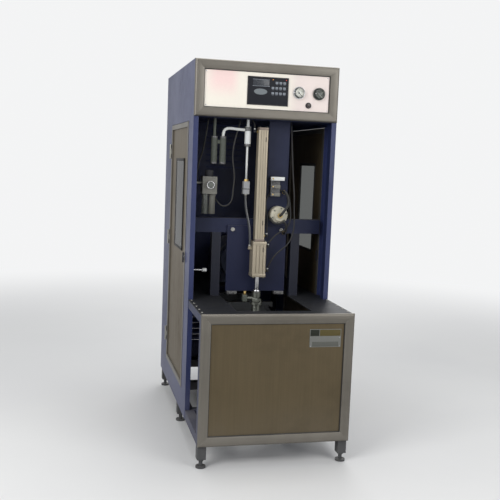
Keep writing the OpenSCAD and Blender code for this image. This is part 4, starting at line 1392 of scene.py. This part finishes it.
    def elbows_and_tubes(self) -> None:
        """Builds the elbows on the ports, and thin tubes whose routes are given as lists."""
        at, ceiling = self.at, low("header_floor").z
        half, seal, foot, top = self.half, self.seal_half, self.foot, self.top
        fittings = Piece("cylinder_elbows")
        self.elbow(fittings, at(-half, 0, top - self.top_port), -X_AXIS, self.elbow_r)
        self.elbow(fittings, at(half, 0, foot + self.port), X_AXIS, self.elbow_r)
        self.elbow(fittings, at(seal, 0, self.seal_top - self.port), X_AXIS, self.seal_elbow_r)
        self.elbow(fittings, at(seal, 0, self.seal_foot + self.port), X_AXIS, self.seal_elbow_r)
        valves = low("valve_manifold")
        plug = valves + Vector(self.plug_step)
        side = Vector((high("valve_panel").x, high("valve_manifold").y, valves.z)) + Vector(self.side_plug)
        fittings.drum(side, X_AXIS, *self.side_plug_size, BLACK, EDGE)
        fittings.put(slot="knob_black")
        tubes = Piece("control_tubes")
        for route in (
            (at(-half - 0.018, 0, top - 0.004), at(-half - 0.020, 0.004, top + 0.02),
             at(-half - 0.030, 0.02, ceiling)),
            (at(half + 0.018, 0, foot + 0.048), at(half + 0.019, 0.003, foot + 0.12),
             at(half + 0.012, 0.012, plug.z - 0.03), plug),
            (at(seal + 0.019, 0, self.seal_top - 0.010), at(0.095, 0, 1.14), at(0.165, -0.012, 1.20),
             at(0.176, -0.004, 1.30), side + Vector((0.040, 0, -0.012)), side + X_AXIS * 0.010),
            (at(seal + 0.019, 0, self.seal_foot + 0.05), at(0.090, -0.006, 1.02), at(0.180, -0.020, 1.12),
             at(0.196, -0.010, 1.32), at(0.190, 0.020, 1.50), at(0.175, 0.045, ceiling)),
        ):
            tubes.pipe(route, self.tube_r, RUBBER)
        for route in (
            (at(-0.12, 0.03, ceiling), at(-0.16, 0.02, 1.60), at(-0.15, 0.015, 1.42), at(-0.19, 0.02, 1.30),
             at(-0.25, 0.035, 1.34), at(-0.262, 0.04, 1.37)),
            (at(-0.30, 0.03, ceiling), at(-0.31, 0.03, 1.70), at(-0.325, 0.04, 1.60), at(-0.345, 0.05, 1.52),
             at(-0.350, 0.05, 1.44), at(-0.332, 0.04, 1.41)),
        ):
            tubes.pipe(route, self.lead_r, RUBBER)
        tubes.put(slot="knob_black")

    def sensors(self) -> None:
        """Builds the reed switches in the front grooves of the cylinders."""
        sensors = Piece("reed_switches")
        for z, front in zip(self.sensor_heights, (self.half, self.half, self.seal_half)):
            foot = self.at((front - self.sensor_w) / 2, -front - self.sensor_lift, z)
            size = Vector((self.sensor_w, self.sensor_depth, self.sensor_h))
            sensors.box(foot, foot + size, BLACK, SMALL)
        sensors.put(slot="knob_black")

    def nozzle_fittings(self) -> None:
        """Builds the clamp nut, side block and rings on the nozzle, riding on the carriage."""
        z = low("nozzle").z
        foot = self.at(0, 0, z)
        near, far = (foot + Vector(corner) for corner in self.side_block)
        parts = Piece("nozzle_fittings")
        parts.ring(foot + Z_AXIS * self.clamp_ring_z, Z_AXIS, *self.clamp_ring, CHROME, steps=36)
        parts.hexagon(foot + Z_AXIS * self.clamp_nut_z, Z_AXIS, *self.clamp_nut, STEEL, MIDDLING)
        parts.box(near, far, GREY_GREEN, 0.003)
        parts.drum(((near.x + far.x) / 2, foot.y, far.z), Z_AXIS, *self.side_pin, BRASS, EDGE)
        for k in range(self.nozzle_rings):
            lift = self.nozzle_ring_start + self.nozzle_ring_pitch * k
            parts.ring(foot + Z_AXIS * lift, Z_AXIS, *self.nozzle_ring, STEEL, steps=40)
        parts.put(body="nozzle_carriage", slot="nozzle_steel")

    def nozzle_lip(self) -> None:
        """Builds the red seal's lip with a groove round it."""
        seal = Piece("nozzle_lip")
        seal.lathe(self.lip, self.at(0, 0, low("nozzle_seal").z), Z_AXIS, RED_RUBBER, steps=40)
        seal.put(body="nozzle_carriage", slot="seal_rubber")

    def guide_shoes(self) -> None:
        """Builds bright shoes bolted under the lower corners of the head plate."""
        a, b = corners("head_plate")
        front = a.y - self.shoe_reach
        shoes = Piece("guide_shoes")
        for side in Side:
            x0, x1 = sorted(side.value * x for x in self.shoe)
            shoes.box((x0, front, a.z - self.shoe_h), (x1, b.y, a.z), ALLOY, SOFT)
            (near_x, far_x), (foot, top) = self.lug_across, self.lug_down
            shoes.box((x0 + near_x, front - self.lug_out, a.z - foot),
                      (x0 + far_x, front + self.lug_in, a.z - top), ALLOY, SOFT)
            for x in (x0 + self.shoe_bolt_inset, x1 - self.shoe_bolt_inset):
                shoes.cap_screw((x, front, a.z - self.shoe_h / 2), FRONT, self.shoe_bolt_r)
        shoes.put(slot="valve_aluminium")

    def plate_bolts(self) -> None:
        """Builds the washers and hexagon bolts that hold the head plate to the beam."""
        a, b = corners("head_plate")
        aside, drop = self.bolt_inset
        bolts = Piece("head_plate_bolts")
        for x in (a.x + aside, b.x - aside):
            bolts.drum((x, a.y, b.z - drop), FRONT, *self.washer, ZINC)
            bolts.hexagon((x, a.y - self.washer[1], b.z - drop), FRONT, *self.bolt_head, ZINC)
        bolts.put()


@dataclass
class FilterUnit:
    """Bowls, small gauge and knob ribs of the filter regulator."""

    x: float = -0.29
    bowl_pitch: float = 0.040
    gauge_z: float = 1.415
    gauge_front: float = 0.056
    mark_front: float = 0.0025
    dial_r: float = 0.0176
    marks: int = 9
    mark_rim: float = 0.0145
    seams: tuple[float, ...] = (1.372, 1.452)
    seam_half: tuple[float, float, float] = (0.041, 0.037, 0.002)
    ribs: int = 22
    rib_rim: float = 0.0218
    rib_half: Point = (0.0010, 0.0010, 0.015)
    rib_lift: float = 0.009
    bowl: Profile = ((0.0178, 0.0), (0.0178, 0.095), (0.0190, 0.097), (0.0190, 0.108), (0.017, 0.110))
    drain: tuple[float, float] = (0.006, 0.004)
    gauge_rim: tuple[float, float, float] = (0.021, 0.0175, 0.006)
    dial_h: float = 0.002
    mark_half: Point = (0.0005, 0.0004, 0.0005)

    def build(self) -> None:
        """Builds the filter's details and the knob's ribs."""
        x, y = self.x, middle("regulator_knob").y
        foot = low("filter_regulator").z
        gauge = Vector((x, y - self.gauge_front, self.gauge_z))
        unit = Piece("filter_details")
        for dx, finish in ((-self.bowl_pitch / 2, BOWL), (self.bowl_pitch / 2, PALE)):
            unit.lathe(self.bowl, (x + dx, y, foot), Z_AXIS, finish, steps=28)
            unit.drum((x + dx, y, foot), Z_AXIS, *self.drain, BRASS)
        unit.ring(gauge, FRONT, *self.gauge_rim, CHROME, steps=32)
        unit.drum(gauge, FRONT, self.dial_r, self.dial_h, DIAL_GREY, FINEST, steps=32)
        for angle in dial_angles(self.marks):
            spot = gauge + FRONT * self.mark_front + facing(angle, self.mark_rim)
            unit.block(spot, self.mark_half, MARK_PALE)
        for z in self.seams:
            unit.block(Vector((x, y, z)), self.seam_half, PALE, EDGE)
        unit.put(slot="filter_body")
        ribs = Piece("regulator_ribs")
        z = middle("regulator_knob").z + self.rib_lift
        for angle in around(self.ribs):
            spot = Vector((x + math.cos(angle) * self.rib_rim, y + math.sin(angle) * self.rib_rim, z))
            ribs.block(spot, self.rib_half, BLACK, THIN)
        ribs.put(body="regulator", slot="knob_black")


@dataclass
class ValveBlock:
    """Coils, plugs and screws on the valve block."""

    coils: tuple[tuple[float, float, Look], ...] = ((0.052, 0.030, PALE), (0.052, 0.030, PALE),
                                                    (0.076, 0.077, MILKY))
    first_coil: float = 0.003
    coil_pitch: float = 0.044
    coil_h: float = 0.018
    coil_front: float = 0.0015
    coil_depth: float = 0.034
    wrap: float = 0.001
    plug_front: float = 0.006
    plug_back: float = 0.026
    plug_reach: float = 0.009
    plug_inset: float = 0.003
    button: tuple[float, float] = (0.0045, 0.005)
    button_inset: float = 0.010
    port: tuple[float, float] = (0.0055, 0.010)
    port_inset: float = 0.004
    port_depth: float = 0.018
    screw_inset: float = 0.016
    screw_r: float = 0.0024
    screw_heights: tuple[float, ...] = (0.026, 0.033, 0.070, 0.077)

    def build(self) -> None:
        """Builds the solenoids; the top coil is wide and milky."""
        a, b = corners("valve_manifold")
        block = Piece("solenoids")
        z0 = a.z + self.first_coil
        for reach, width, coil in self.coils:
            x1, z1 = a.x + reach, z0 + self.coil_h
            z = (z0 + z1) / 2
            block.box((x1 - width, a.y - self.coil_front, z0 - self.wrap),
                      (x1 + self.wrap, a.y + self.coil_depth, z1 + self.wrap), coil, 0.0015)
            block.box((x1, a.y + self.plug_front, z0 + self.plug_inset),
                      (x1 + self.plug_reach, a.y + self.plug_back, z1 - self.plug_inset), BLACK, MIDDLING)
            block.drum((a.x + self.button_inset, a.y, z), FRONT, *self.button, BRASS, SMALL)
            block.drum((a.x + self.port_inset, a.y + self.port_depth, z), -X_AXIS, *self.port, BLACK, EDGE)
            z0 += self.coil_pitch
        for height in self.screw_heights:
            spot = (a.x + self.screw_inset, b.y - self.screw_inset, a.z + height)
            block.cap_screw(spot, FRONT, self.screw_r)
        block.put(slot="valve_aluminium")


@dataclass
class BlowValve:
    """Bolted cover and pilot hoses of the round blow valve."""

    bolts: int = 6
    bolt_start: float = 0.3
    bolt_rim: float = 0.041
    bolt_r: float = 0.0042
    bolt_depth: float = 0.013
    cover_depth: float = 0.022
    cover_rim: Profile = ((0.020, 0.0), (0.046, 0.0), (0.0485, 0.002), (0.0485, 0.007), (0.046, 0.009),
                          (0.034, 0.010), (0.031, 0.013), (0.020, 0.013), (0.020, 0.0))
    nose: tuple[float, float] = (0.014, 0.008)
    upper_seat: tuple[float, float] = (0.038, 0.128)
    lower_seat: tuple[float, float] = (0.042, -0.102)
    upper_seat_r: float = 0.0105
    lower_seat_r: float = 0.009
    nut_share: float = 1.2
    nut_h: float = 0.007
    body_length: float = 0.016
    upper_r: float = 0.0075
    lower_r: float = 0.006

    def build(self) -> None:
        """Builds the cover, and the two hoses whose routes are given as lists."""
        centre = middle("blow_valve")
        centre.y = low("blow_valve").y
        cover = Piece("blow_valve_cover")
        cover.lathe(self.cover_rim, centre + Y_AXIS * self.cover_depth, FRONT, CREAM, steps=44)
        for angle in around(self.bolts, self.bolt_start):
            spot = centre + Y_AXIS * self.bolt_depth + facing(angle, self.bolt_rim)
            cover.cap_screw(spot, FRONT, self.bolt_r)
        cover.put(slot="filter_body")
        upper, lower = (Vector((centre.x + across, low(wall).y, centre.z + up)) for wall, (across, up) in
                        (("valve_panel", self.upper_seat), ("head_plate", self.lower_seat)))
        hose = Piece("blow_valve_hose")
        hose.drum(centre, FRONT, *self.nose, BRASS, EDGE)
        for seat, radius in ((upper, self.upper_seat_r), (lower, self.lower_seat_r)):
            hose.hexagon(seat, FRONT, radius * self.nut_share, self.nut_h, BRASS)
            hose.drum(seat, FRONT, radius, self.body_length, BLACK, MIDDLING)
        over = ((-0.001, -0.006, 0), (-0.002, -0.024, 0.003), (0.014, -0.030, 0.026), (0.040, -0.020, 0.062),
                (0.046, 0.012, 0.104))
        under = ((-0.044, 0.030, -0.012), (-0.040, -0.004, -0.036), (-0.012, -0.014, -0.044),
                 (0.020, -0.010, -0.036), (0.042, 0.008, -0.066))
        for route, seat, lead, radius in ((over, upper, 0.026, self.upper_r),
                                          (under, lower, 0.024, self.lower_r)):
            path = [centre + Vector(step) for step in route] + [seat + FRONT * lead, seat + FRONT * 0.012]
            hose.pipe(path, radius, RUBBER, sides=12)
        hose.put(slot="knob_black")


@dataclass
class AirPieces:
    """Silencer ribs, hose collars and tank bands."""

    silencers: tuple[float, ...] = (-0.268, -0.220)
    silencer_ribs: int = 7
    rib_start: float = 0.022
    rib_pitch: float = 0.015
    rib: tuple[float, float, float] = (0.0174, 0.0165, 0.004)
    foot_cap: tuple[float, float, float] = (0.0176, 0.010, 0.010)
    top_cap: tuple[float, float, float] = (0.0176, 0.008, 0.011)
    top_cap_z: float = 0.140
    straps: tuple[float, float] = (0.06, 0.08)
    strap: tuple[float, float, float] = (0.0015, 0.0005, 0.025)
    weld: tuple[float, float, float] = (0.0004, 0.004, 0.012)
    line_x: float = -0.082
    clip: tuple[float, float, float] = (0.0088, 0.0070, 0.010)
    clip_z: float = 1.362
    wide_clip: tuple[float, float, float] = (0.0100, 0.0080, 0.012)
    wide_clip_z: float = 1.672
    port_inset: float = 0.009
    port_clip_z: float = 1.078
    bowl_foot: tuple[float, float, float] = (0.0182, 0.0165, 0.014)
    bowl_foot_z: float = 1.632
    bowl_top: tuple[float, float, float] = (0.0186, 0.0165, 0.022)
    bowl_top_z: float = 1.716
    nut: tuple[float, float] = (0.0125, 0.014)
    nut_z: float = 1.438
    band_half: Point = (0.018, 0.018, 0.0035)
    band_z: float = 1.3985

    def build(self) -> None:
        """Builds the air pieces."""
        self.silencer_caps()
        self.hose_collars()
        self.tank_bands()

    def silencer_caps(self) -> None:
        """Builds the caps and ribs on the silencers."""
        foot, y = low("silencers").z, middle("silencers").y
        caps = Piece("silencer_caps")
        for x in self.silencers:
            caps.ring((x, y, foot), Z_AXIS, *self.foot_cap, ALLOY)
            caps.ring((x, y, foot + self.top_cap_z), Z_AXIS, *self.top_cap, ALLOY)
            for k in range(self.silencer_ribs):
                z = foot + self.rib_start + self.rib_pitch * k
                caps.ring((x, y, z), Z_AXIS, *self.rib, GREY_GREEN, steps=28)
        caps.put(slot="silencer_grey")

    def hose_collars(self) -> None:
        """Builds the clips where hoses end, the bowl's heads and the check valve's nut and band."""
        y, head_y = middle("silencers").y, middle("stretch_rod").y
        port_x = low("seal_cylinder").x + self.port_inset
        x = self.line_x
        collars = Piece("hose_collars")
        for at, sizes, finish in (((x, y, self.clip_z), self.clip, ZINC),
                                  ((self.silencers[1], y, self.wide_clip_z), self.wide_clip, ZINC),
                                  ((port_x, head_y, self.port_clip_z), self.clip, ZINC),
                                  ((x, y, self.bowl_foot_z), self.bowl_foot, ALLOY),
                                  ((x, y, self.bowl_top_z), self.bowl_top, ALLOY)):
            collars.ring(at, Z_AXIS, *sizes, finish)
        collars.hexagon((x, y, self.nut_z), Z_AXIS, *self.nut, BRASS)
        collars.block(Vector((x, y, self.band_z)), self.band_half, ALLOY, EDGE)
        collars.put(slot="valve_aluminium")

    def tank_bands(self) -> None:
        """Builds the straps and end welds of the air tank."""
        a, b = corners("air_tank")
        radius = (b.x - a.x) / 2
        z = b.z - radius
        bands = Piece("tank_bands")
        front, back = self.straps
        for places, (out, into, width), finish in (
            ((a.y + front, b.y - back), self.strap, ZINC),
            ((a.y, b.y - self.weld[2]), self.weld, SLATE),
        ):
            for y in places:
                bands.ring((0, y, z), Y_AXIS, radius + out, radius - into, width, finish, steps=60)
        bands.put(slot="clamp_paint")


@dataclass
class CabinetTrim:
    """Screws of the rear cover and the deck, the bay's sensor and the clamp's bolts."""

    cover_inset: float = 0.014
    cover_rows: int = 6
    cover_row_margin: float = 0.06
    cover_columns: int = 4
    deck_x: float = 0.385
    deck_rows: int = 5
    deck_margin: float = 0.06
    deck_pitch: float = 0.085
    sensor_z: float = 0.94
    sensor_step: float = 0.02
    bracket_across: tuple[float, float] = (-0.398, -0.372)
    bracket_half: tuple[float, float] = (0.018, 0.030)
    barrel_x: float = -0.373
    barrel: tuple[float, float] = (0.0045, 0.066)
    head_x: float = -0.311
    head: tuple[float, float] = (0.0105, 0.024)
    flange_bolts: int = 8
    flange_rim: float = 0.098

    def build(self) -> None:
        """Builds the cabinet's small pieces."""
        self.cover_screws()
        self.deck_bolts()
        self.bay_sensor()
        self.flange()

    def cover_screws(self) -> None:
        """Builds the screws down both sides of the rear cover and along its top."""
        a, b = corners("rear_cover")
        left, right = a.x + self.cover_inset, b.x - self.cover_inset
        foot, top = a.z + self.cover_row_margin, b.z - self.cover_row_margin
        rows = [foot + (top - foot) * i / (self.cover_rows - 1) for i in range(self.cover_rows)]
        columns = [left + (right - left) * i / (self.cover_columns - 1) for i in range(self.cover_columns)]
        spots = [(x, z) for z in rows for x in (left, right)] + [(x, b.z - 0.020) for x in columns]
        screws = Piece("cover_screws")
        for x, z in spots:
            screws.screw((x, b.y, z), Y_AXIS, 0.0050)
        screws.put()

    def deck_bolts(self) -> None:
        """Builds the bolts along the deck's sides."""
        bolts = Piece("deck_bolts")
        deck = Vector((0, low("deck_plate").y + self.deck_margin, high("deck_plate").z))
        for i in range(self.deck_rows):
            for x in (-self.deck_x, self.deck_x):
                bolts.screw(deck + Vector((x, self.deck_pitch * i, 0)), Z_AXIS, 0.0055)
        bolts.put()

    def flange(self) -> None:
        """Builds the bolts round the clamp cylinder's flange."""
        bolts = Piece("flange_bolts")
        centre = Vector((0, low("yoke_plate").y - 0.022, middle("clamp_cylinder").z))
        for angle in around(self.flange_bolts, math.pi / self.flange_bolts):
            bolts.cap_screw(centre + facing(angle, self.flange_rim), FRONT, 0.0065)
        bolts.put(body="front_clamp")

    def bay_sensor(self) -> None:
        """Builds a proximity sensor on the left sheet, with a chromed barrel and a pale head."""
        y, z = middle("stretch_rod").y + self.sensor_step, self.sensor_z
        (x0, x1), (half_y, half_z) = self.bracket_across, self.bracket_half
        sensor = Piece("bay_sensor")
        sensor.box((x0, y - half_y, z - half_z), (x1, y + half_y, z + half_z), ALLOY, SOFT)
        sensor.drum((self.barrel_x, y, z), X_AXIS, *self.barrel, CHROME, THIN)
        sensor.drum((self.head_x, y, z), X_AXIS, *self.head, MILKY, SOFT)
        sensor.put()


@dataclass(frozen=True)
class SoftLamp:
    """A square area lamp that looks at a point."""

    name: str
    place: Point
    target: Point
    size: float
    power: float

    def build(self) -> None:
        """Builds the lamp."""
        light = bpy.data.lights.new(self.name, "AREA")
        light.size = self.size
        light.energy = self.power
        lamp = placed(self.name, light)
        lamp.location = self.place
        lamp.rotation_mode = "QUATERNION"
        lamp.rotation_quaternion = (Vector(self.target) - Vector(self.place)).to_track_quat("-Z", "Y")


@dataclass(frozen=True)
class Studio:
    """Camera, lamps, floor and background."""

    eye: Point = (-1.048, -4.531, 1.542)
    yaw: float = 0.074
    pitch: float = 0.119
    roll: float = 0.021
    aim: Point = (0.0, -0.12, 1.035)
    lens: float = 56.0
    sensor: float = 36.0
    clip_end: float = 100.0
    backdrop: Colour = (0.90, 0.905, 0.91)
    sky: Colour = (0.80, 0.84, 0.90)
    sky_strength: float = 0.42
    floor_size: float = 22.0
    floor_rough: float = 0.7
    floor_pale: Colour = (0.74, 0.735, 0.72)
    floor_deep: Colour = (0.71, 0.705, 0.695)
    floor_fade: tuple[float, float] = (2.2, 6.5)
    lamps: tuple[SoftLamp, ...] = (
        SoftLamp("window_left", (-3.6, -3.2, 3.2), (0, 0, 1.0), 2.6, 150.0),
        SoftLamp("front_right", (2.6, -4.2, 2.6), (0, 0, 1.1), 2.6, 75.0),
        SoftLamp("overhead", (0.2, 0.2, 5.2), (0, 0, 0.5), 3.2, 90.0),
        SoftLamp("behind", (1.5, 4.6, 3.2), (0, 0, 1.0), 2.6, 60.0),
    )

    def build(self) -> None:
        """Builds the whole studio."""
        self.camera()
        for lamp in self.lamps:
            lamp.build()
        self.floor()
        self.world()

    def camera(self) -> None:
        """Stands at the photograph's viewpoint, turned the least that brings the machine to the middle."""
        cos, sin = math.cos, math.sin
        forward = Vector((sin(self.yaw) * cos(self.pitch), cos(self.yaw) * cos(self.pitch), -sin(self.pitch)))
        right = Vector((cos(self.yaw), -sin(self.yaw), 0))
        up = right.cross(forward)
        level = cos(self.roll) * right + sin(self.roll) * up
        upright = cos(self.roll) * up - sin(self.roll) * right
        photo = Matrix((level, upright, -forward)).transposed()
        towards = (Vector(self.aim) - Vector(self.eye)).normalized()
        least = forward.rotation_difference(towards).to_matrix()
        lens = bpy.data.cameras.new("camera")
        lens.lens = self.lens
        lens.sensor_width = self.sensor
        lens.clip_end = self.clip_end
        camera = placed("camera", lens)
        camera.matrix_world = Matrix.Translation(self.eye) @ (least @ photo).to_4x4()
        bpy.context.scene.camera = camera

    def floor(self) -> None:
        """Lays a wide pale floor that fades into the backdrop far from the machine."""
        part = bmesh.new()
        bmesh.ops.create_grid(part, x_segments=8, y_segments=8, size=self.floor_size)
        shape = bpy.data.meshes.new("floor")
        part.to_mesh(shape)
        part.free()
        material = bpy.data.materials.new("floor")
        material.use_nodes = True
        g = Graph(material.node_tree)
        shader = g.tree.nodes["Principled BSDF"]
        clouds = g.span(g.noise(0.6, 4), 0.35, 0.7)
        g.fill(shader, Base_Color=g.blend(clouds, self.floor_pale, self.floor_deep),
               Roughness=self.floor_rough)
        far = g.vector("LENGTH", g.coords()).outputs["Value"]
        share = g.product(g.seen(), g.span(far, *self.floor_fade))
        glow = g.fill(g.add("Emission"), Color=self.backdrop)
        g.fill(g.tree.nodes["Material Output"], Surface=g.mix(share, shader, glow))
        shape.materials.append(material)
        placed("floor", shape)

    def world(self) -> None:
        """Puts the pale backdrop behind the machine, and a plain grey light on it."""
        world = bpy.data.worlds.new("studio")
        world.use_nodes = True
        bpy.context.scene.world = world
        g = Graph(world.node_tree)
        g.tree.nodes.clear()
        lit = g.fill(g.add("Background"), Color=self.sky, Strength=self.sky_strength)
        backdrop = g.fill(g.add("Background"), Color=self.backdrop, Strength=1.0)
        g.fill(g.add("OutputWorld"), Surface=g.mix(g.seen(), lit, backdrop))


def main() -> None:
    """Builds the studio and dresses the machine."""
    bpy.context.scene.view_settings.view_transform = "Standard"
    Studio().build()
    CadDress().build()
    ControllerFace().build()
    Gauge("low_gauge", DIAL, MARK, CHROME, 4).build()
    Gauge("high_gauge", DIAL_GREY, MARK_PALE, DARK_DIAL, 10).build()
    HeaderPanel().build()
    BasePanel().build()
    for side in Side:
        SideDoor(side).build()
    HeadUnit().build()
    FilterUnit().build()
    ValveBlock().build()
    BlowValve().build()
    AirPieces().build()
    CabinetTrim().build()


if __name__ == "__main__":
    main()
